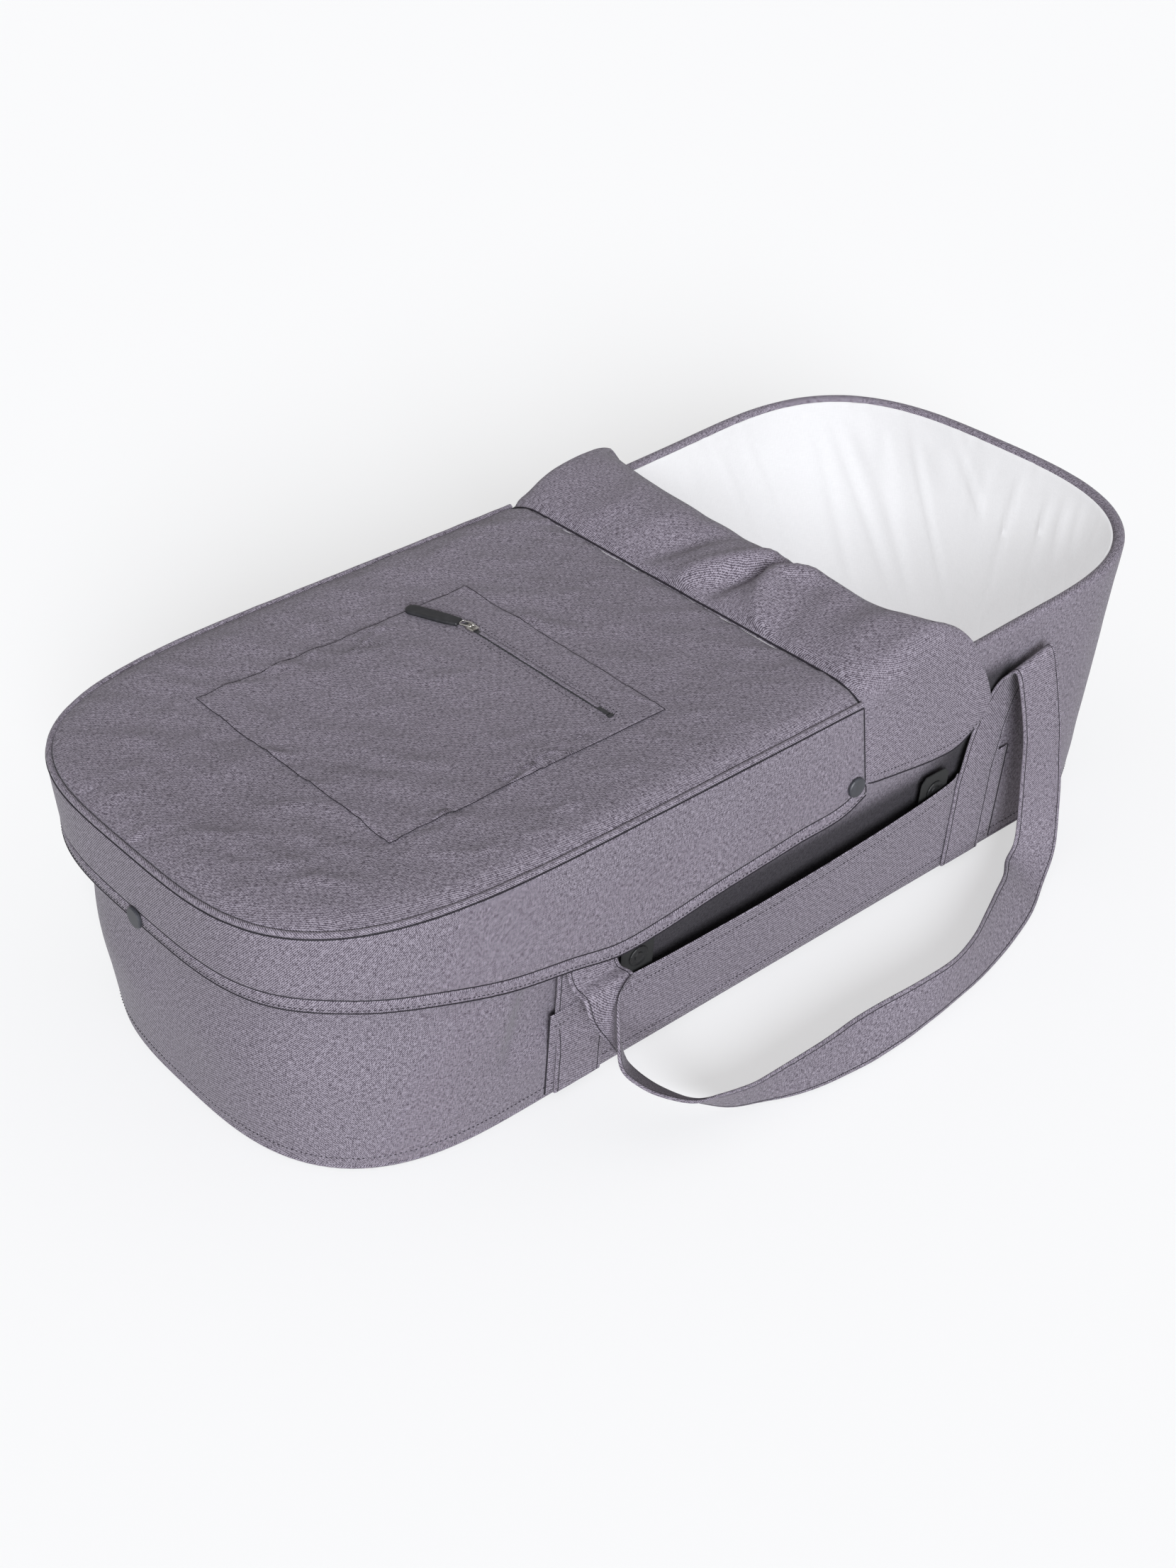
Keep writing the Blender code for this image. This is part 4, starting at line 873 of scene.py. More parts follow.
class LiningOperator(bpy.types.Operator):
    """Makes the gathered white lining and the padded mattress in it."""

    bl_idname = "carrycot.lining"
    bl_label = "Lining and mattress"

    def execute(self, context):
        cotton = [finish_named("white_cotton_cloth"), finish_named("white_thread")]
        self.make_lining(cotton)
        self.make_mattress(cotton)
        return {"FINISHED"}

    def make_lining(self, cotton):
        """The lining: walls from the rim down, then the floor, as one bag with its own back."""
        plans = matched_plans(0.0042)
        low = FLOOR_HEIGHT + 0.001
        top = rim_z(plans[1][:, 0]) - 0.0032
        skin, full_skin, floor_skin = 0.0009, 0.0006, 0.0009
        depth = sizes().lining_fold
        outer, inner = [], []
        for level in np.concatenate((np.linspace(1, 0.9, 7), np.linspace(0.88, 0.0, 34))):
            z = low + (top - low) * level
            fold = lining_depth(wall_line(plans, z, 0), level)
            edge_in = skin + full_skin * eased((1 - level) * 12)
            outer.append(wall_line(plans, z, LINING_OUTSIDE))
            inner.append(wall_line(plans, z, LINING_OUTSIDE + edge_in + depth * fold))
        floor_edge, floor_back = inner[-1], outer[-1]
        for share in np.linspace(0.93, 0, 14):
            inner.append(floor_edge * (share, share, 1))
            outer.append(floor_back * (share, share, 1) - (0, 0, floor_skin))
        inner, outer = np.stack(inner), np.stack(outer)
        cloth = Cloth()
        cloth.add_grid(inner, wrap_columns=True)
        cloth.add_grid(outer, wrap_columns=True, flip=True)
        lip = (inner[0] + outer[0]) / 2 + (0, 0, full_skin)
        cloth.add_grid(np.stack((inner[0], lip, outer[0])), wrap_columns=True, flip=True)
        cloth.sewn("gathered_lining", "tub", cotton, ("lining",))

    def make_mattress(self, cotton):
        """The mattress: a low pad with round edges and a crowned, softly dented top."""
        base, height, crown, soft = 0.0075, 0.036, 0.005, 0.009
        dent, dent_size, steepest = 0.0016, 0.09, 70
        plans = matched_plans(0.009)
        inside = 0.0148
        rows = [wall_line(plans, base, inside + 0.05), wall_line(plans, base, inside + soft / 2)]
        for turn in np.radians(np.linspace(-steepest, steepest, 9)):
            level = 0.5 + 0.5 * math.sin(turn) / math.sin(math.radians(steepest))
            z = base + 0.001 + (height - 0.001) * level
            bulge = soft * 0.55 * (1 - math.cos(turn) ** 0.5)
            rows.append(wall_line(plans, z, inside + bulge))
        rim = rows[-1]
        rows.insert(0, rows[0] * (0, 0, 1))
        for share in np.linspace(0.97, 0, 20):
            rows.append(rim * (share, share, 1) + (0, 0, crown * (1 - share ** 3)))
        pad = np.stack(rows)
        on_top = np.clip((pad[..., 2] - 0.02) / 0.02, 0, 1)
        pad[..., 2] += dents(pad, dent_size, 5) * dent * on_top
        mattress = Cloth()
        mattress.add_grid(pad, wrap_columns=True)
        piece = mattress.sewn("mattress_pad", "tub", cotton, ("mattress",))


def skirt_edge(x):
    """Height of the skirt's lower edge along X."""
    foot = -(HALF_LENGTH + SKIRT_OUTSIDE)
    share = (x - foot) / (SEAM_X + SEAM_LEAN - foot)
    return SKIRT_TOP - SKIRT_DEPTH * table_value(share, SKIRT_EDGE)


def seam_place(z):
    """Where the seam between the skirt and the flap runs along X at a height."""
    return SEAM_X + SEAM_LEAN * np.maximum(SKIRT_TOP - z, 0) / (SKIRT_DEPTH * SKIRT_EDGE[-1][1])


def foot_line(outline, cut):
    """The part of an outline on the foot side of a cut, near side first."""
    inside = np.where(outline[:, 0] < cut - 0.002)[0]
    first, last = inside[0], inside[-1]
    ends = []
    for index, neighbour in ((first, first - 1), (last, (last + 1) % len(outline))):
        here, there = outline[index], outline[neighbour]
        ends.append(here + (there - here) * (cut - here[0]) / (there[0] - here[0]))
    return np.concatenate((ends[:1], outline[first:last + 1], ends[1:]))


class SkirtOperator(bpy.types.Operator):
    """Makes the apron's side band with its stitched hem, and the corded seam above it."""

    bl_idname = "carrycot.skirt"
    bl_label = "Apron skirt"

    def execute(self, context):
        rim = matched_plans(0.0055)[1]
        self.make_band(rim)
        self.make_cord(rim)
        return {"FINISHED"}

    def make_band(self, rim):
        """The side band, drawn in toward its hem round the foot end and leaning at the flap's seam."""
        cut = SEAM_X + SEAM_LEAN
        outside = foot_line(moved_out(rim, SKIRT_OUTSIDE), cut)
        inside = foot_line(moved_out(rim, SKIRT_INSIDE), cut)
        low = skirt_edge(outside[:, 0])
        height = SKIRT_TOP - low
        pull = SKIRT_DRAW * np.clip((CORNER_X - outside[:, 0]) / CORNER_RUN, 0, 1)
        along = lengths_along(outside)
        from_ends = np.clip(np.minimum(along, along[-1] - along) / 0.035, 0, 1)
        steps = (0, 0.0012, 0.0022, 0.0034, 0.0070, 0.0082, HEM, 0.0098, 0.0112)
        turned, groove_depth, groove_width, calm = 0.0006, 0.0009, 0.0010, 0.03
        rises = [np.full(len(low), step) for step in steps]
        rises += [steps[-1] + (height - steps[-1]) * share for share in np.linspace(0, 1, 17)[1:]]
        outer, inner, lift, soft = [], [], [], []
        for row, rise in enumerate(rises):
            z = low + rise
            share = (SKIRT_TOP - z) / height
            for line, rows in ((outside, outer), (inside, inner)):
                x = line[:, 0] + pull * share + (seam_place(z) - cut) * (1 - from_ends)
                rows.append(np.column_stack((x, line[:, 1], z)))
            in_hem = row < len(steps)
            groove = math.exp(-((rise[0] - HEM) / groove_width) ** 2) if in_hem else 0
            fold = turned if in_hem and rise[0] < HEM else 0
            lift.append(fold - groove_depth * groove)
            soft.append(eased(rise.mean() / calm) * eased((height.mean() - rise.mean()) / calm))
        outer, inner = np.stack(outer), np.stack(inner)
        normals = grid_normals(outer)
        centre = np.array((-0.1, 0, 0.16))
        if np.sum(normals * (outer - centre)) < 0:
            normals = -normals
        lift, soft = np.array(lift)[:, None], np.array(soft)[:, None]
        wander = 0.0012 * dents(outer * (1, 1, 0.4), 0.055, 2) * soft * from_ends[None]
        outer = outer + normals * (lift + np.maximum(wander, -0.0004))[..., None]
        weave = np.stack((np.broadcast_to(along, outer.shape[:2]), outer[..., 2]), axis=2)
        cloth = Cloth()
        cloth.add_shell(outer, inner, weave=weave, soft=0.35)
        fold_row, hem_row = 2, steps.index(HEM)
        cloth.add_stitches(outer[fold_row] + normals[fold_row] * 0.0001, normals[fold_row])
        cloth.add_seam_and_shadow_line(outer[hem_row] + normals[hem_row] * 0.0001, normals[hem_row], SEAM_THREAD)
        # A dark line along the band's lower edge: painted shadow in the gap under the hem
        cloth.add_seam_and_shadow_line(outer[0] - (0, 0, 0.0002), normals[0], SEAM_THREAD)
        # A dark line up the band's end at the flap: seam thread and painted shadow in the seam's groove
        cloth.add_seam_and_shadow_line(outer[fold_row:, 0], normals[fold_row:, 0], SEAM_THREAD)
        cloth.sewn("apron_side_band", "apron", cloth_finishes(), ("apron_skirt",))

    def make_cord(self, rim):
        """The cord between the band and the apron's top, with a dark line under it that paints the shadow in
        the seam's groove.
        """
        chain = foot_line(moved_out(rim, SKIRT_OUTSIDE - PIPING_RADIUS), SEAM_X)
        z = SKIRT_TOP + SEAT_GAP + PIPING_RADIUS
        line = np.column_stack((chain, np.full(len(chain), z)))
        side = np.cross(np.gradient(line, axis=0), UP)
        side /= np.linalg.norm(side, axis=1)[:, None]
        ring = tube(line, side, UP, PIPING_RADIUS, 12)
        ring += (dents(ring, 0.012, 6) * 0.00025)[..., None] * UP
        cord = Cloth()
        cord.add_grid(ring, wrap_rows=True)
        cap_ends(cord, ring)
        # A dark line under the cord: painted shadow in the groove between cord and band
        under_cord = line - side * PIPING_RADIUS * 0.93 - (0, 0, PIPING_RADIUS * 0.72)
        wander = (0.0002 * dents(line, 0.02, 41))[:, None] * UP
        cord.add_seam_and_shadow_line(under_cord + wander, UP, HEAVY_THREAD)
        cord.sewn("apron_cord", "apron", cloth_finishes(), ("apron_piping",))


def cap_ends(cloth, ring):
    """Closes both ends of a tube of points with a fan of faces."""
    for column, flip in ((0, False), (-1, True)):
        rim = ring[:, column]
        middle = np.broadcast_to(rim.mean(axis=0), rim.shape)
        fan = np.stack((rim, middle))
        cloth.add_grid(fan, wrap_columns=True, flip=flip)


def panel_height(x, y):
    """Height of the apron's top: level over the middle, falling to the cord near the edge."""
    along = np.clip((CORNER_X - x) / (CORNER_RUN + SKIRT_OUTSIDE), 0, 1)
    across = np.abs(y) / TOP_HALF_WIDTH
    reach = (along ** CORNER_POWER + across ** CORNER_POWER) ** (1 / CORNER_POWER)
    share = np.clip((1 - reach) * TOP_HALF_WIDTH / PANEL_CROWN_RUN, 0, 1)
    return SKIRT_TOP + PANEL_EDGE + PANEL_DEPTH + PANEL_CROWN * (1 - (1 - share) ** 2)


def edge_inset(x, y):
    """Distance of places on the apron's top from its corded edge."""
    along = np.clip((CORNER_X - x) / (CORNER_RUN + SKIRT_OUTSIDE - 2 * PIPING_RADIUS), 0, 1)
    across = np.abs(y) / TOP_HALF_WIDTH
    reach = (along ** CORNER_POWER + across ** CORNER_POWER) ** (1 / CORNER_POWER)
    return np.clip(1 - reach, 0, 1) * TOP_HALF_WIDTH


# Heights of the apron top's unevenness, and how far it may go down and up
BROAD_RIPPLE = 0.0022
FINE_RIPPLE = 0.0009
CREASE_RISE = 0.0016
PULL_RISE = 0.0009
RIPPLE_SHARE = 0.80
RIPPLE_LOWEST = -0.0016
RIPPLE_HIGHEST = 0.0040
PUCKER_RISE = 0.0022
PUCKER_LOWEST = -0.0006
ROLL_RISE = 0.0012
ROLL_INSET = 0.0080
EDGE_TURN = 0.0003
# Half sizes of the level cloth round the zip and round its pull, and where the pull lies
ZIP_CLEAR = (0.012, 0.088)
PULL_CLEAR = (0.016, 0.026)
PULL_PLACE = (-0.106, 0.080)
# Where the fine pulls in the cloth gather: round this place, out to this distance
PULLS_PLACE = (-0.12, 0.02)
PULLS_REACH = 0.10
PULLS_FADE = 0.07


def ridges(x, y):
    """Small ridges over the apron's top, in three directions."""
    total = 0
    for turn, seed in ((0.5, 11), (-0.9, 13), (1.9, 15)):
        along = x * math.cos(turn) + y * math.sin(turn)
        over = y * math.cos(turn) - x * math.sin(turn)
        crease = dents(np.stack((along / 0.085, over / 0.030, 0 * x), axis=-1), 1.0, seed)
        total = total + CREASE_RISE * np.clip(1 - np.abs(crease) * 5, 0, 1) ** 2
    return total


def beyond(x, y, place, half):
    """Distance of places in plan from a rectangle round one place, 0 inside it."""
    out_x = np.maximum(np.abs(x - place[0]) - half[0], 0)
    out_y = np.maximum(np.abs(y - place[1]) - half[1], 0)
    return np.hypot(out_x, out_y)


def away_from_zip(x, y):
    """0 where the zip and its pull need flat cloth, 1 away from them."""
    zip_middle = (ZIP_X, (ZIP_NEAR + ZIP_FAR) / 2)
    from_zip = beyond(x, y, zip_middle, ZIP_CLEAR)
    from_pull = beyond(x, y, PULL_PLACE, PULL_CLEAR)
    return eased(from_zip / 0.03) * eased(from_pull / 0.02)


def edge_gathers(x, y, inset):
    """Puckers and a low roll beside the apron's cord, the roll fuller on the near side."""
    turn = np.arctan2(y / HALF_WIDTH, np.minimum(x - CORNER_X, 0) / CORNER_RUN)
    around = np.stack((turn * 13, x * 45, np.zeros_like(x)), axis=-1)
    pucker = PUCKER_RISE * dents(around, 1.0, 12) * np.exp(-inset / 0.018) * eased(inset / 0.004)
    near_side = 0.35 + 0.65 * eased((0.03 - y) / 0.14)
    roll = ROLL_RISE * np.exp(-((inset - ROLL_INSET) / ROLL_INSET) ** 2) * near_side
    return np.maximum(pucker, PUCKER_LOWEST) + roll


def apron_ripple(x, y):
    """Soft unevenness that the apron's top and the patch on it share; level round the zip."""
    flat = np.stack((x, y, np.zeros_like(x)), axis=-1)
    ripple = BROAD_RIPPLE * dents(flat * (1, 1.6, 1), 0.075, 8) + FINE_RIPPLE * dents(flat, 0.026, 9)
    outside = np.maximum(np.hypot(x - PULLS_PLACE[0], y - PULLS_PLACE[1]) - PULLS_REACH, 0)
    near_patch = np.exp(-(outside / PULLS_FADE) ** 2)
    pulls = dents(np.stack((x / 0.016 + y / 0.05, y / 0.045, 0 * x), axis=-1), 1.0, 31)
    ripple = (ripple + ridges(x, y) + PULL_RISE * pulls * near_patch) * RIPPLE_SHARE
    inset = edge_inset(x, y)
    ripple = np.clip(ripple, RIPPLE_LOWEST, RIPPLE_HIGHEST) * away_from_zip(x, y) * eased(inset / 0.03)
    return ripple + edge_gathers(x, y, inset)


class ApronTopOperator(bpy.types.Operator):
    """Makes the apron's crowned top, the pocket patch sewn on it and the zip's cloth lips."""

    bl_idname = "carrycot.apron_top"
    bl_label = "Apron top"

    def execute(self, context):
        rim = matched_plans(0.006)[1]
        edge = foot_line(moved_out(rim, SKIRT_OUTSIDE - 2 * PIPING_RADIUS - SEAT_GAP), SEAM_X)
        half = edge[:len(edge) // 2 + 1]
        half = half[half[:, 1] < 0]
        shares = np.sin(np.linspace(-1, 1, 101) * HALF_TURN / 2)
        shares = 0.65 * shares + 0.35 * np.linspace(-1, 1, 101)
        x = np.repeat(half[:, :1], len(shares), axis=1)
        y = np.abs(half[:, 1:]) * shares
        z = panel_height(x, y) + apron_ripple(x, y)
        seam_drop = 0.0020 * np.exp(-((x - SEAM_X) / 0.004) ** 2)
        outer = np.stack((x, y, z - seam_drop), axis=2)
        inner = np.stack((x, y, panel_height(x, y) - PANEL_DEPTH), axis=2)
        cloth = Cloth()
        cloth.add_shell(outer, inner, weave=outer[..., :2], soft=0.2)
        cloth.sewn("apron_top_cloth", "apron", cloth_finishes(), ("apron_panel",))
        self.make_patch()
        self.make_zip()
        return {"FINISHED"}

    def make_patch(self):
        """The patch, a frame of cloth round the zip's window, with turned edges and stitching."""
        low, depth, turn_width, sunk = PLATEAU + SEAT_GAP, 0.0010, 0.0010, 0.0001
        half = ZIP_WINDOW / 2
        window = (ZIP_X - half, ZIP_X + half, ZIP_NEAR, ZIP_FAR)
        stitched = (window[0] - 0.0022, window[1] + 0.0022, window[2] - 0.0030, window[3] + 0.0020)
        outer_ring, window_ring = rectangle(*PATCH), rectangle(*window)
        near_edge = (0, 0.004, 0.010, 0.017, 0.022, 0.028, 0.036)
        shares = np.concatenate((near_edge, np.linspace(0.07, 0.95, 26), (0.97, 0.985, 1.0)))
        rings = np.stack([outer_ring + (window_ring - outer_ring) * share for share in shares])
        x, y = rings[..., 0], rings[..., 1]
        inset = np.minimum(np.minimum(x - PATCH[0], PATCH[1] - x), np.minimum(y - PATCH[2], PATCH[3] - y))
        ripple = apron_ripple(x, y)
        top = low + depth + ripple - EDGE_TURN * np.exp(-(inset / turn_width) ** 2)
        upper = np.stack((x, y, top), axis=2)
        lower = np.stack((x, y, low + ripple), axis=2)
        closed = np.concatenate((rings, rings[:, :1]), axis=1)
        cloth = Cloth()
        cloth.add_shell(upper, lower, wrap_columns=True, weave=closed, soft=0.15)
        # A dark line round the patch's edge: painted shadow under its turned edge
        cloth.add_seam_and_shadow_line(upper[0] - (0, 0, sunk), UP, 0.00030, closed=True)
        ring = rectangle(*stitched)
        height = low + depth + apron_ripple(ring[:, 0], ring[:, 1]) - sunk
        around_zip = np.column_stack((ring, height))
        cloth.add_stitches(around_zip, np.broadcast_to(UP, around_zip.shape), closed=True)
        cloth.sewn("apron_patch", "apron", cloth_finishes(), ("apron_pocket",))

    def make_zip(self):
        """The zip's tape and the narrow lip of cloth that covers the teeth."""
        low = PLATEAU + SEAT_GAP
        half, teeth_half, tape_rise, teeth_rise = ZIP_WINDOW / 2 - SEAT_GAP, 0.0023, 0.0006, 0.0009
        across = np.array((-half, -half * 0.72, -teeth_half, teeth_half, half * 0.72, half))
        rise = np.array((0.00062, 0.00066, tape_rise, tape_rise, 0.00066, 0.00062))
        rows = np.linspace(ZIP_NEAR + SEAT_GAP, ZIP_FAR - SEAT_GAP, 90)
        x, y = np.meshgrid(ZIP_X + across, rows)
        self.make_strip("zip_tape_cloth", x, y, low, rise, ("zip_tape",))
        across = np.array((-0.0009, -0.0007, 0.0, 0.0010, 0.0018, 0.0021))
        rise = np.array((0.00005, 0.00020, 0.00024, 0.00022, 0.00012, 0.0))
        rows = np.linspace(ZIP_NEAR + 0.0145, ZIP_FAR - 0.0185, 120)
        wobble = 0.00012 * np.sin(rows * 420) + 0.0001 * np.sin(rows * 173)
        x, y = np.meshgrid(ZIP_X + across, rows)
        over_teeth = low + tape_rise + SEAT_GAP + teeth_rise + 0.00005
        self.make_strip("zip_lip", x + wobble[:, None], y, over_teeth, rise)

    def make_strip(self, name, x, y, low, rise, stands_for=()):
        """A thin strip of cloth along the zip, level below and shaped across its top."""
        upper = np.stack((x, y, np.broadcast_to(low + rise, x.shape)), axis=2)
        lower = np.stack((x, y, np.full(x.shape, low)), axis=2)
        strip = Cloth()
        strip.add_shell(upper, lower, soft=0.2)
        strip.sewn(name, "apron", [finish_named("grey_melange_cloth")], stands_for)


def rectangle(x_low, x_high, y_low, y_high, steps=44):
    """Points round a level rectangle, the same number on each side."""
    shares = np.arange(steps) / steps
    corners = np.array(((x_low, y_low), (x_high, y_low), (x_high, y_high), (x_low, y_high)))
    sides = [corners[side] + (corners[(side + 1) % 4] - corners[side]) * shares[:, None] for side in range(4)]
    return np.concatenate(sides)


# The flap: its length over the top and at the sides, how far its sides hang, the thickness of its
# skin, the radius of its corners and the height of its swell
FLAP_RUN = 0.0710
FLAP_RUN_SIDE_SHARE = 1.25
FLAP_SIDE_RUN = 0.1335
FLAP_DROP = 0.0715
FLAP_SKIN = 0.0018
FLAP_CORNER = 0.014
FLAP_SWELL = 0.0205
# Its three broad creases: place across as a share of its half width, and slope
FLAP_CREASES = ((0.16, -0.50), (-0.18, -0.42), (-0.52, 0.30))
# Its small folds: the points of a bent line in plan, the height and the half width
FLAP_FOLDS = (
    (((0.052, 0.006), (0.080, -0.015), (0.121, -0.041)), 0.0062, 0.0085),
    (((0.054, -0.085), (0.070, -0.062), (0.097, -0.053), (0.113, -0.075), (0.118, -0.107)), 0.0060, 0.0080),
    (((0.056, -0.026), (0.090, -0.037), (0.124, -0.058)), -0.0058, 0.0080),
    (((0.056, 0.045), (0.085, 0.024), (0.122, 0.000)), -0.0030, 0.0100),
    (((0.054, 0.110), (0.085, 0.095), (0.120, 0.110)), 0.0022, 0.0110),
    (((0.060, 0.060), (0.100, 0.040), (0.126, 0.044)), -0.0022, 0.0100),
    (((0.056, -0.125), (0.090, -0.118), (0.118, -0.130)), -0.0020, 0.0120),
    (((0.070, -0.150), (0.100, -0.145), (0.120, -0.160)), 0.0018, 0.0120),
)
# Shares of its side's length by height, and of its side's drop by place along
FLAP_SIDE_ENDS = ((0.0, 0.90), (0.08, 0.965), (0.25, 1.0), (0.50, 0.975), (0.75, 0.92), (1.0, 0.845))
FLAP_HEM = ((0.0, 0.86), (0.30, 0.93), (0.62, 1.0), (0.86, 0.98), (1.0, 0.88))


def flap_rise(along, across):
    """Height of the flap's top over its seam, with its three broad creases."""
    lip_drop, crease_depth, crease_width = 0.0060, 0.0045, 0.014
    swell = np.sin(np.clip(along / 0.8, 0, 1) * HALF_TURN / 2) ** 0.75
    drop = lip_drop * np.clip((along - 0.8) / 0.2, 0, 1) ** 2
    creases = 0
    for place, slope in FLAP_CREASES:
        offset = (across - place - slope * (along - 0.5) * 0.3) * APRON_HALF_WIDTH / crease_width
        creases = creases + crease_depth * np.exp(-offset * offset) * np.sin(HALF_TURN * along)
    return FLAP_SWELL * swell - drop - creases


def line_distance(x, y, line):
    """Distance from places to a bent line, and how far along it they lie, from 0 to 1."""
    line = np.asarray(line, dtype=float)
    along = lengths_along(line)
    best = np.full(x.shape, 9.0)
    place = np.zeros(x.shape)
    for start, end, before, after in zip(line[:-1], line[1:], along[:-1], along[1:]):
        run = end - start
        share = np.clip(((x - start[0]) * run[0] + (y - start[1]) * run[1]) / (run @ run), 0, 1)
        distance = np.hypot(x - start[0] - run[0] * share, y - start[1] - run[1] * share)
        closer = distance < best
        best = np.where(closer, distance, best)
        place = np.where(closer, (before + (after - before) * share) / along[-1], place)
    return best, place


def flap_folds(x, y):
    """The flap's soft ridges and hollows on its top, at places in plan."""
    total = 0.0012 * dents(np.stack((x, y, 0 * x), axis=-1), 0.03, 14)
    for line, height, width in FLAP_FOLDS:
        distance, place = line_distance(x, y, line)
        fading = np.sin(HALF_TURN * (0.12 + 0.76 * place))
        total = total + height * np.exp(-(distance / width) ** 2) * fading
    return total


def flap_rows(along, outside):
    """Rows of the flap's skin from the near hem over the top to the far hem."""
    corner_z = PLATEAU - FLAP_CORNER
    reach = APRON_HALF_WIDTH if outside else APRON_HALF_WIDTH - 0.0015
    radius = FLAP_CORNER if outside else FLAP_CORNER - FLAP_SKIN
    puff_height = 0.0018 if outside else 0
    quarter = HALF_TURN / 2
    side_end = FLAP_SIDE_RUN * table_value(1, FLAP_SIDE_ENDS)
    corner_end = FLAP_RUN * FLAP_RUN_SIDE_SHARE
    hem = corner_z - FLAP_DROP * table_value(along, FLAP_HEM)
    sides = {-1: [], 1: []}
    for side, rows in sides.items():
        for level in np.linspace(0, 1, 22):
            z = hem + (corner_z - hem) * level
            first = seam_place(z) + SEAT_GAP
            end = SEAM_X + FLAP_SIDE_RUN * table_value(level, FLAP_SIDE_ENDS)
            lift = flap_rise(along, side) * eased((level - 0.75) / 0.25) * 0.35
            puff = puff_height * np.sin(HALF_TURN * along) * math.sin(HALF_TURN * level)
            rows.append(np.column_stack((first + (end - first) * along, side * (reach + puff), z + lift)))
        for turn in np.linspace(0, quarter, 9)[1:-1]:
            end = side_end + (corner_end - side_end) * turn / quarter
            lift = flap_rise(along, side) * (0.35 + 0.65 * math.sin(turn))
            x = seam_place(corner_z + FLAP_CORNER * math.sin(turn)) + SEAT_GAP + end * along
            y = side * (APRON_HALF_WIDTH - FLAP_CORNER + radius * math.cos(turn))
            z = corner_z + lift + radius * math.sin(turn)
            rows.append(np.column_stack((x, np.full(len(along), y), z)))
    top = []
    for across in np.linspace(-1, 1, 64):
        end_share = abs(across) ** 6
        middle_end = FLAP_RUN + 0.0100 * max(across, 0)
        end = middle_end + (corner_end - middle_end) * end_share
        z = PLATEAU + flap_rise(along, across)
        if not outside:
            z = z - FLAP_SKIN - 0.0035 * np.sqrt(np.sin(HALF_TURN * along)) * (1 - end_share)
        y = np.full(len(along), across * (APRON_HALF_WIDTH - FLAP_CORNER))
        top.append(np.column_stack((SEAM_X + SEAT_GAP + end * along, y, z)))
    return np.stack(sides[-1] + top + sides[1][::-1])


def seam_height(y):
    """Height of the apron's end at the flap seam: its crowned top, then over the cord to the skirt."""
    inner = panel_height(np.full(np.shape(y), SEAM_X), np.minimum(np.abs(y), TOP_HALF_WIDTH))
    over = np.clip((np.abs(y) - TOP_HALF_WIDTH) / (APRON_HALF_WIDTH - TOP_HALF_WIDTH), 0, 1)
    return inner + (SKIRT_TOP - 0.002 - inner) * over ** 2


def settled(rows, along, depth):
    """The flap's rows brought down to the apron's end at the seam."""
    start = rows[:, :1]
    drop = np.maximum(start[..., 2] - (seam_height(start[..., 1]) - depth), 0)
    drop = drop * (start[..., 2] > PLATEAU - FLAP_CORNER + 0.0005)
    rows = rows.copy()
    rows[..., 2] -= drop * (1 - eased(along / 0.42))[None]
    return rows


class FlapOperator(bpy.types.Operator):
    """Makes the padded wind flap with its soft folds and stitched hem."""

    bl_idname = "carrycot.flap"
    bl_label = "Wind flap"

    def execute(self, context):
        along = np.sin(np.linspace(0, HALF_TURN / 2, 40)) * 0.5 + np.linspace(0, 1, 40) * 0.5
        inside_ends, middle_column = 1e-6, 20
        valley_depth, valley_width, deepest, highest = 0.0022, 0.045, -0.006, 0.008
        seam_offset, seam_radius = (-0.0006, 0, 0.0009), 0.0007
        outer = settled(flap_rows(along, True), along, 0)
        inner = settled(flap_rows(np.clip(along, inside_ends, 1 - inside_ends), False), along, FLAP_SKIN)
        normals = grid_normals(outer)
        if normals[len(outer) // 2, middle_column, 2] < 0:
            normals = -normals
        folds = flap_folds(outer[..., 0], outer[..., 1])
        on_top = eased((outer[..., 2] - PLATEAU + 0.004) / 0.006)
        fade = eased(along / 0.10) * (0.35 + 0.65 * eased((1 - along) / 0.12)) * 1.25
        from_ends = eased(along / 0.12) * eased((1 - along) / 0.12)
        side = 0.0009 * dents(outer, 0.045, 17) * (1 - on_top) * from_ends
        outer = outer + normals * np.clip(folds * on_top * fade + side, deepest, highest)[..., None]
        valley = valley_depth * np.exp(-(along / valley_width) ** 2)
        outer = outer - normals * valley[None, :, None]
        rows_along = np.broadcast_to(lengths_along(outer[:, middle_column])[:, None], outer.shape[:2])
        weave = np.stack((outer[..., 0], rows_along), axis=2)
        cloth = Cloth()
        cloth.add_shell(outer, inner, weave=weave, soft=0.5)
        for row in (2, -3):
            cloth.add_stitches(outer[row, 1:-1], normals[row, 1:-1])
        # A dark line along the seam to the apron: seam thread and painted shadow in its groove
        cloth.add_seam_and_shadow_line(outer[4:-4, 0] + seam_offset, normals[4:-4, 0], seam_radius)
        # Dark lines along both hems: painted shadow in the gap under the flap's hem
        for row in (0, -1):
            cloth.add_seam_and_shadow_line(outer[row, 1:-1], normals[row, 1:-1], HEAVY_THREAD)
        flap = cloth.sewn("wind_flap_pad", "wind_flap", cloth_finishes(), ("wind_flap",))
        return {"FINISHED"}


def curve_through(points, steps):
    """Points of a smooth curve through given ones."""
    points = [Vector(point) for point in points]
    ends = [points[0] * 2 - points[1]] + points + [points[-1] * 2 - points[-2]]
    curve = []
    for row in range(len(points) - 1):
        before, start, end, after = ends[row:row + 4]
        for step in range(steps):
            share = step / steps
            curve.append(0.5 * (2 * start + (end - before) * share +
                                (2 * before - 5 * start + 4 * end - after) * share ** 2 +
                                (3 * start - before - 3 * end + after) * share ** 3))
    return np.array([tuple(point) for point in curve + [points[-1]]])


def hinge_axis():
    """Direction of the line through a handle's two hinges, the same on both sides of the cot."""
    return Vector((HEAD_HINGE[0] - FOOT_HINGE[0], 0, HEAD_HINGE[1] - FOOT_HINGE[1])).normalized()


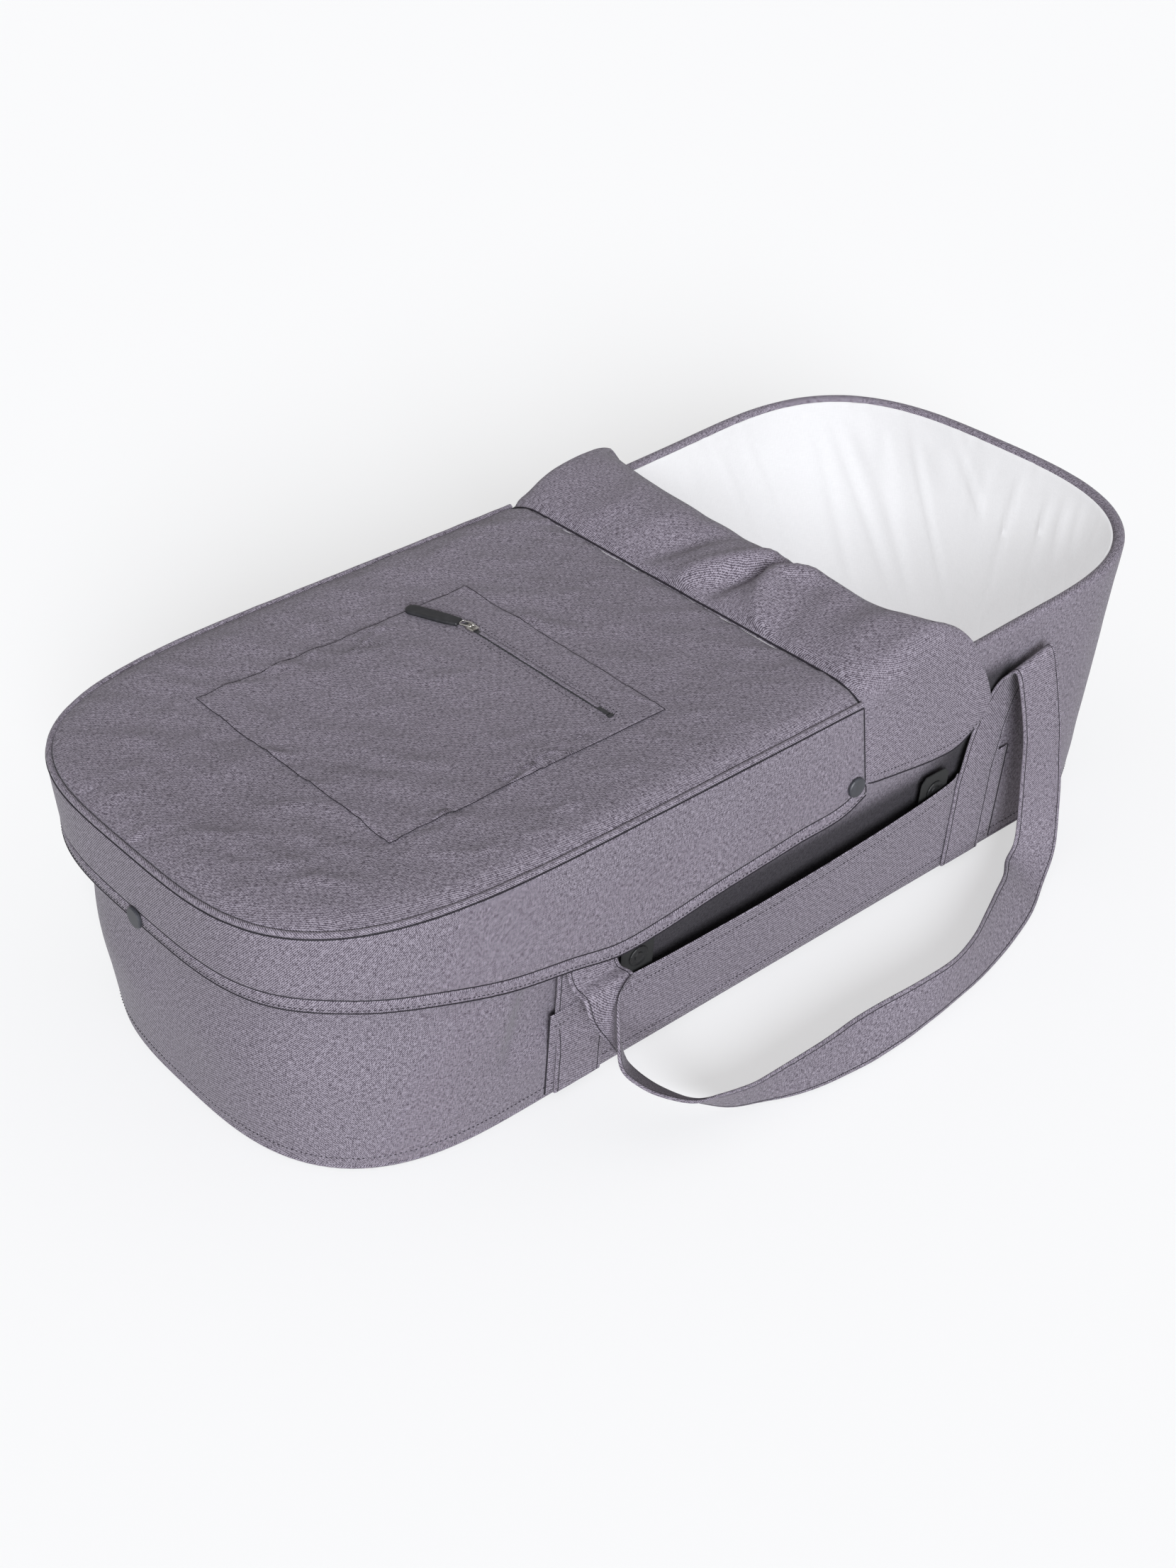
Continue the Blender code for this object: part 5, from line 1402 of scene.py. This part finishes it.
def sewn_end(strap_x, hinge, side, flat):
    """Centres and width directions of a strap's sewn end, from the base up to its hinge."""
    sewn_z, start_z, sunk = 0.088, 0.0045, 0.0036
    hinge_x, hinge_z = hinge
    offset = SEAT_GAP + 0.0012 + SEAT_GAP + STRAP_DEPTH / 2
    level = Vector((1, 0, 0))
    heights = (start_z, sewn_z / 4, sewn_z / 2, sewn_z * 0.75, sewn_z)
    if hinge_z < SKIRT_TOP - SKIRT_DEPTH:
        under = APRON_HALF_WIDTH - 0.0045
        rows = [(strap_x, wall_y(z) + offset - sunk * faded(z, 0.045, 0.070), z, level) for z in heights]
        tucked = ((wall_y(0.112) + offset - sunk, 0.112), (wall_y(0.124) + offset - 0.0030, 0.124),
                  (under - 0.0022, 0.1285), (under, 0.125), (under + 0.0002, 0.117),
                  (under + 0.0018, 0.1095), (under + 0.0070, 0.1040))
        rows += [(strap_x, y, z, level) for y, z in tucked]
    else:
        sewn_y = wall_y(sewn_z) + offset
        out = AXIS_Y - (STRAP_DEPTH / 2 + 2 * SEAT_GAP) - sewn_y
        rows = [(strap_x, wall_y(z) + offset, z, level) for z in heights]
        for share_out, share_up, share_x in ((0.12, 0.45, 0.3), (0.38, 0.80, 0.7), (0.70, 0.96, 0.92)):
            rows.append((strap_x + (hinge_x - strap_x) * share_x, sewn_y + out * share_out,
                         sewn_z + (hinge_z - sewn_z) * share_up, level.lerp(hinge_axis(), share_x)))
    return [Vector((x, side * y, z)) for x, y, z, _ in rows], [wide * flat for _, _, _, wide in rows]


class HandleOperator(bpy.types.Operator):
    """Makes both strap handles, each one strap from sewn end to sewn end."""

    bl_idname = "carrycot.handles"
    bl_label = "Strap handles"

    def execute(self, context):
        for name, side in (("near", -1), ("far", 1)):
            foot_end, foot_wide = sewn_end(-0.1875, FOOT_HINGE, side, 1)
            head_end, head_wide = sewn_end(0.190, HEAD_HINGE, side, -1)
            centres = [Vector((FOOT_HINGE[0], side * AXIS_Y, FOOT_HINGE[1]))]
            wides = [hinge_axis()]
            for x, out, up, wide_x, wide_out, wide_up in STRAP_ROUTE:
                wide = Vector((wide_x, -side * wide_out, wide_up)).normalized()
                edge = Vector((x * STRAP_RUN, side * (AXIS_Y + out * STRAP_REACH), up * STRAP_WIDTH))
                centres.append(edge + wide * STRAP_WIDTH / 2)
                wides.append(wide)
            centres.append(Vector((HEAD_HINGE[0], side * AXIS_Y, HEAD_HINGE[1])))
            wides.append(-hinge_axis())
            centres = foot_end + centres + head_end[::-1]
            wides = foot_wide + wides + head_wide[::-1]
            self.make_strap(name, side, centres, wides)
        return {"FINISHED"}

    def make_strap(self, name, side, centres, wides):
        """One folded strap with a dark seam along both edges of both faces."""
        line = curve_through(centres, 7)
        wide = curve_through(wides, 7)
        wide /= np.linalg.norm(wide, axis=1)[:, None]
        along = lengths_along(line)
        face = np.cross(np.gradient(line, axis=0), wide)
        face /= np.linalg.norm(face, axis=1)[:, None]
        half, depth, sewn, groove_share = STRAP_WIDTH / 2, STRAP_DEPTH / 2, 0.0030, 0.62
        across = np.array((half, half - 0.0003, half - 0.0012, half - sewn + 0.0008, half - sewn,
                           half - sewn - 0.0009, half * 0.5, 0))
        across = np.concatenate((across, -across[-2::-1]))
        height = np.array((0, 0.62, 0.95, 0.88, groove_share, 0.90, 1.0, 0.96))
        height = np.concatenate((height, height[-2::-1])) * depth
        section = [(u, v) for u, v in zip(across, height)]
        section += [(u, -v) for u, v in zip(across[-2:0:-1], height[-2:0:-1])]
        ripple = 0.0007 * dents(line, 0.03, 21)
        ripple *= eased((line[:, 2] - 0.001) / 0.03) * 0.5 + 0.5
        points = np.stack([line + wide * u + face * (v + ripple[:, None]) for u, v in section])
        girth = lengths_along(np.array(section + section[:1]))
        weave = np.stack(np.broadcast_arrays(girth[:, None], along[None]), axis=2)
        cloth = Cloth()
        cloth.add_grid(points, wrap_rows=True, weave=weave)
        cap_ends(cloth, points)
        for u in (half - sewn, sewn - half):
            for facing in (1, -1):
                offset = face * (facing * (depth * groove_share + 0.00008) + ripple[:, None])
                cloth.add_seam_and_shadow_line(line + wide * u + offset, face * facing, 0.00035)
        nodes = ("strap_end_" + name + "_foot", "strap_end_" + name + "_head", "handle_" + name)
        strap = cloth.sewn("strap_" + name, None, cloth_finishes())
        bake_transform(strap)
        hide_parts(*nodes)


class PocketOperator(bpy.types.Operator):
    """Makes the two side pockets, and the webbing tabs inside them."""

    bl_idname = "carrycot.pockets"
    bl_label = "Side pockets"

    def execute(self, context):
        for name, side in (("near", -1), ("far", 1)):
            self.make_panel(name, side)
            for end, x in (("foot", -0.1400), ("head", 0.1450)):
                self.make_tab(name + "_" + end, x, side)
        return {"FINISHED"}

    def make_panel(self, name, side):
        """One pocket panel, gaping between the two straps, with hem and base stitching."""
        start, end, low, high = -0.213, 0.226, 0.0045, 0.076
        climb_end, gape, mouth_rise, hem = 0.0925, 0.0105, 0.0165, 0.011
        groove_depth, groove_width, skin = 0.0003, 0.0012, 0.0012
        x = np.linspace(-0.210, 0.223, 108)
        x = np.concatenate(((start, -0.2124, -0.2115), x, (0.2245, 0.2254, end)))
        thick = 0.0002 + 0.0010 * eased(np.minimum(x - start, end - x) / 0.003)
        arch = np.sin(HALF_TURN * np.clip((x + 0.1672) / 0.3369, 0, 1)) ** 0.45
        top = high + mouth_rise * (x - start) / (end - start)

        def stand(z):
            """How far the panel stands from the middle of the cot, and how far its cloth wanders."""
            off = wall_y(z) + SEAT_GAP + gape * arch * np.clip((z - low) / (climb_end - low), 0, 1)
            wander = 0.0011 * dents(np.column_stack((x, z, 0 * x)) * (1, 2.0, 1), 0.055, 23 + side)
            wander = wander * arch * eased((z - low) / (top - low) * 4)
            return off, np.clip(wander, -0.0009, 0.002)

        outer, inner = [], []
        for level in np.concatenate((np.linspace(0, 0.82, 18), (0.86, 0.90, 0.93, 0.96, 0.985, 1.0))):
            z = low + (top - low) * level
            off, wander = stand(z)
            groove = groove_depth * np.exp(-((top - z - hem) / groove_width) ** 2)
            inner.append(np.column_stack((x, side * (off + 0.2 * wander), z)))
            outer.append(np.column_stack((x, side * (off + thick + wander - groove), z)))
        outer, inner = np.stack(outer), np.stack(inner)
        cloth = Cloth()
        weave = np.stack((outer[..., 0], outer[..., 2]), axis=2)
        cloth.add_shell(outer, inner, weave=weave, soft=0.4)
        facing = np.broadcast_to((0, side, -0.05), (len(x), 3)).astype(float)
        for z, groove in ((np.full(len(x), low + 0.0085), 0), (top - hem, groove_depth)):
            off, wander = stand(z)
            line = np.column_stack((x, side * (off + skin + wander - groove + 0.0001), z))
            cloth.add_stitches(line[3:-3], facing[3:-3])
        for place in (0, -1):
            cloth.add_seam_and_shadow_line(outer[:, place], (0, side, 0.0), HEAVY_THREAD)
        cloth.sewn("side_pocket_cloth_" + name, "tub", cloth_finishes(), ("side_pocket_" + name,))

    def make_tab(self, name, x, side):
        """A tab of ribbed black webbing that narrows a little at its heat-cut top."""
        half, low, high, skin, columns = 0.014, 0.066, 0.104, 0.0012, 21
        across = np.linspace(-1, 1, columns)
        outer, inner = [], []
        for level in np.linspace(0, 1, 26):
            height = low + (high - low) * level
            narrow = half - 0.0045 * max(0, (level - 0.87) / 0.13)
            ribs = 0.00018 * np.sin(across * 34) * np.sin(level * 96)
            y, z = wall_y(height) + SEAT_GAP, np.full(columns, height)
            inner.append(np.column_stack((x + across * narrow, np.full(columns, side * y), z)))
            outer.append(np.column_stack((x + across * narrow, side * (y + skin + ribs), z)))
        cloth = Cloth()
        cloth.add_shell(np.stack(outer), np.stack(inner), soft=0.3)
        webbing = finish_named("black_webbing")
        cloth.sewn("webbing_" + name, "tub", [webbing], ("webbing_tab_" + name,))


class PullOperator(bpy.types.Operator):
    """Makes the zip's moulded rubber pull."""

    bl_idname = "carrycot.pull"
    bl_label = "Zip pull"

    def execute(self, context):
        turn = math.radians(22)
        along = np.array((-math.sin(turn), math.cos(turn), 0))
        across = np.array((math.cos(turn), math.sin(turn), 0))
        start = np.array((ZIP_X, 0.0500, 0))
        begin, length, half, thick, turns = 0.00995, 0.0430, 0.0056, 0.0032, 28
        dish_depth, edge, rounding = 0.00035, 0.0009, 0.0012
        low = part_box("pull_tab")[0].z
        places = (np.linspace(0, 0.03, 5), np.linspace(0.07, 0.85, 20), np.linspace(0.88, 1, 12))
        rows = []
        for run in np.concatenate(places) * length:
            from_end = length - run
            wide = half * (0.78 + 0.22 * eased(run / 0.012))
            if from_end < half:
                wide = min(wide, math.sqrt(max(half ** 2 - (half - from_end) ** 2, TINY)))
            if run < edge:
                wide -= (edge - run) * 0.8
            dish = dish_depth * eased((run - 0.016) / 0.006) * eased((length - 0.004 - run) / 0.006)
            tall = thick * (0.62 + 0.38 * eased(min(run, from_end) / rounding))
            ring = []
            for angle in np.arange(turns) * 2 * HALF_TURN / turns:
                cosine, sine = math.cos(angle), math.sin(angle)
                u = wide * math.copysign(abs(cosine) ** 0.42, cosine)
                v = tall / 2 * math.copysign(abs(sine) ** 0.55, sine)
                if sine > 0.3:
                    v -= dish * max(0, 1 - (u / (wide * 0.72)) ** 4)
                ring.append(start + along * (begin + run) + across * u + (0, 0, low + thick / 2 + v))
            rows.append(ring)
        points = np.transpose(np.array(rows), (1, 0, 2))
        pull = Cloth()
        pull.add_grid(points, wrap_rows=True)
        cap_ends(pull, points)
        pull.sewn("moulded_pull", "zip_puller", [finish_named("black_pull_rubber")], ("pull_tab",), 40)
        return {"FINISHED"}


def aim(thing, toward, roll=0.0):
    """Turns a camera or light to look along a direction."""
    turn = Vector(toward).normalized().to_track_quat("-Z", "Y").to_matrix()
    thing.rotation_euler = (turn @ Matrix.Rotation(math.radians(roll), 3, "Z")).to_euler()


# The photograph's camera: its height and its focal length in pixels, its place, aim and roll
PHOTO_HEIGHT = 2212
PHOTO_FOCUS = 3235.5
SENSOR_HEIGHT = 36.0
CAMERA_PLACE = (-0.9208, -1.0329, 1.0368)
CAMERA_AIM = (0.5343, 0.6214, -0.5731)
CAMERA_ROLL = -0.24
# Each light's name, direction, strength, spread in degrees and colour
LIGHTS = (
    ("key_light", (0.51, 0.76, -0.40), 4.9, 24, (0.93, 0.96, 1.0)),
    ("top_light", (0.05, 0.3, -0.95), 0.12, 80, (1.0, 0.98, 0.97)),
)
AIR_COLOUR = (1.0, 0.98, 0.985, 1)
AIR_STRENGTH = 0.42
FLOOR_DROP = 0.0002
FLOOR_RADII = (0.0, 1.0, 4.0, 12.0)


class StageOperator(bpy.types.Operator):
    """Makes the pale floor, the soft studio light and the camera."""

    bl_idname = "carrycot.stage"
    bl_label = "Stage"

    def execute(self, context):
        self.make_floor()
        self.make_light(context.scene)
        self.make_camera(context.scene)
        context.scene.view_settings.view_transform = "Standard"
        return {"FINISHED"}

    def make_floor(self):
        """A level pale floor under the cot."""
        turns = np.linspace(0, 2 * HALF_TURN, 96, endpoint=False)
        ring = np.array([(math.cos(turn), math.sin(turn), 0) for turn in turns])
        rows = np.stack([ring * radius - (0, 0, FLOOR_DROP) for radius in FLOOR_RADII])
        sweep = Cloth()
        sweep.add_grid(rows, wrap_columns=True)
        finish = Finish("studio_floor")
        finish.set(Base_Color=(0.42, 0.42, 0.42, 1), Roughness=0.9, Specular_IOR_Level=0.1,
                   Emission_Color=(1.0, 1.0, 1.0, 1), Emission_Strength=FLOOR_GLOW)
        floor = sweep.sewn("studio_sweep", None, [finish.material])
        floor.visible_diffuse = False

    def make_light(self, scene):
        """The soft air and the lights."""
        world = bpy.data.worlds.new("studio_air")
        world.use_nodes = True
        air = world.node_tree.nodes["Background"]
        air.inputs["Color"].default_value = AIR_COLOUR
        air.inputs["Strength"].default_value = AIR_STRENGTH
        scene.world = world
        for name, direction, strength, spread, colour in LIGHTS:
            lamp = bpy.data.lights.new(name, "SUN")
            lamp.energy, lamp.angle, lamp.color = strength, math.radians(spread), colour
            light = bpy.data.objects.new(name, lamp)
            scene.collection.objects.link(light)
            aim(light, direction)

    def make_camera(self, scene):
        """The camera at the photograph's angle."""
        lens = bpy.data.cameras.new("photo_camera")
        lens.sensor_fit = "VERTICAL"
        lens.sensor_height = SENSOR_HEIGHT
        lens.lens = PHOTO_FOCUS / PHOTO_HEIGHT * SENSOR_HEIGHT
        camera = bpy.data.objects.new("photo_camera", lens)
        scene.collection.objects.link(camera)
        camera.location = CAMERA_PLACE
        aim(camera, CAMERA_AIM, CAMERA_ROLL)
        scene.camera = camera


OPERATORS = (StageOperator, FinishOperator, CoverOperator, BaseOperator, LiningOperator, SkirtOperator,
             ApronTopOperator, FlapOperator, HandleOperator, PocketOperator, PullOperator)


class CarrycotPanel(bpy.types.Panel):
    """Lists the carrycot's colours, sizes and pieces."""

    bl_idname = "VIEW3D_PT_carrycot"
    bl_label = "Grey carrycot"
    bl_space_type = "VIEW_3D"
    bl_region_type = "UI"
    bl_category = "Carrycot"

    def draw(self, context):
        for group in (context.scene.carrycot_colours, context.scene.carrycot_sizes):
            box = self.layout.box()
            for name in group.__annotations__:
                box.prop(group, name)
        for operator in OPERATORS:
            self.layout.operator(operator.bl_idname)


def register():
    """Registers the settings, the operators and the panel."""
    for kind in (CarrycotColours, CarrycotSizes, *OPERATORS, CarrycotPanel):
        bpy.utils.register_class(kind)
    bpy.types.Scene.carrycot_colours = bpy.props.PointerProperty(type=CarrycotColours)
    bpy.types.Scene.carrycot_sizes = bpy.props.PointerProperty(type=CarrycotSizes)


def unregister():
    """Takes the settings, the operators and the panel away."""
    del bpy.types.Scene.carrycot_colours
    del bpy.types.Scene.carrycot_sizes
    for kind in (CarrycotPanel, *OPERATORS[::-1], CarrycotSizes, CarrycotColours):
        bpy.utils.unregister_class(kind)


def main():
    """Builds every piece and the stage."""
    register()
    for operator in OPERATORS:
        family, name = operator.bl_idname.split(".")
        getattr(getattr(bpy.ops, family), name)()


if __name__ == "__main__":
    main()
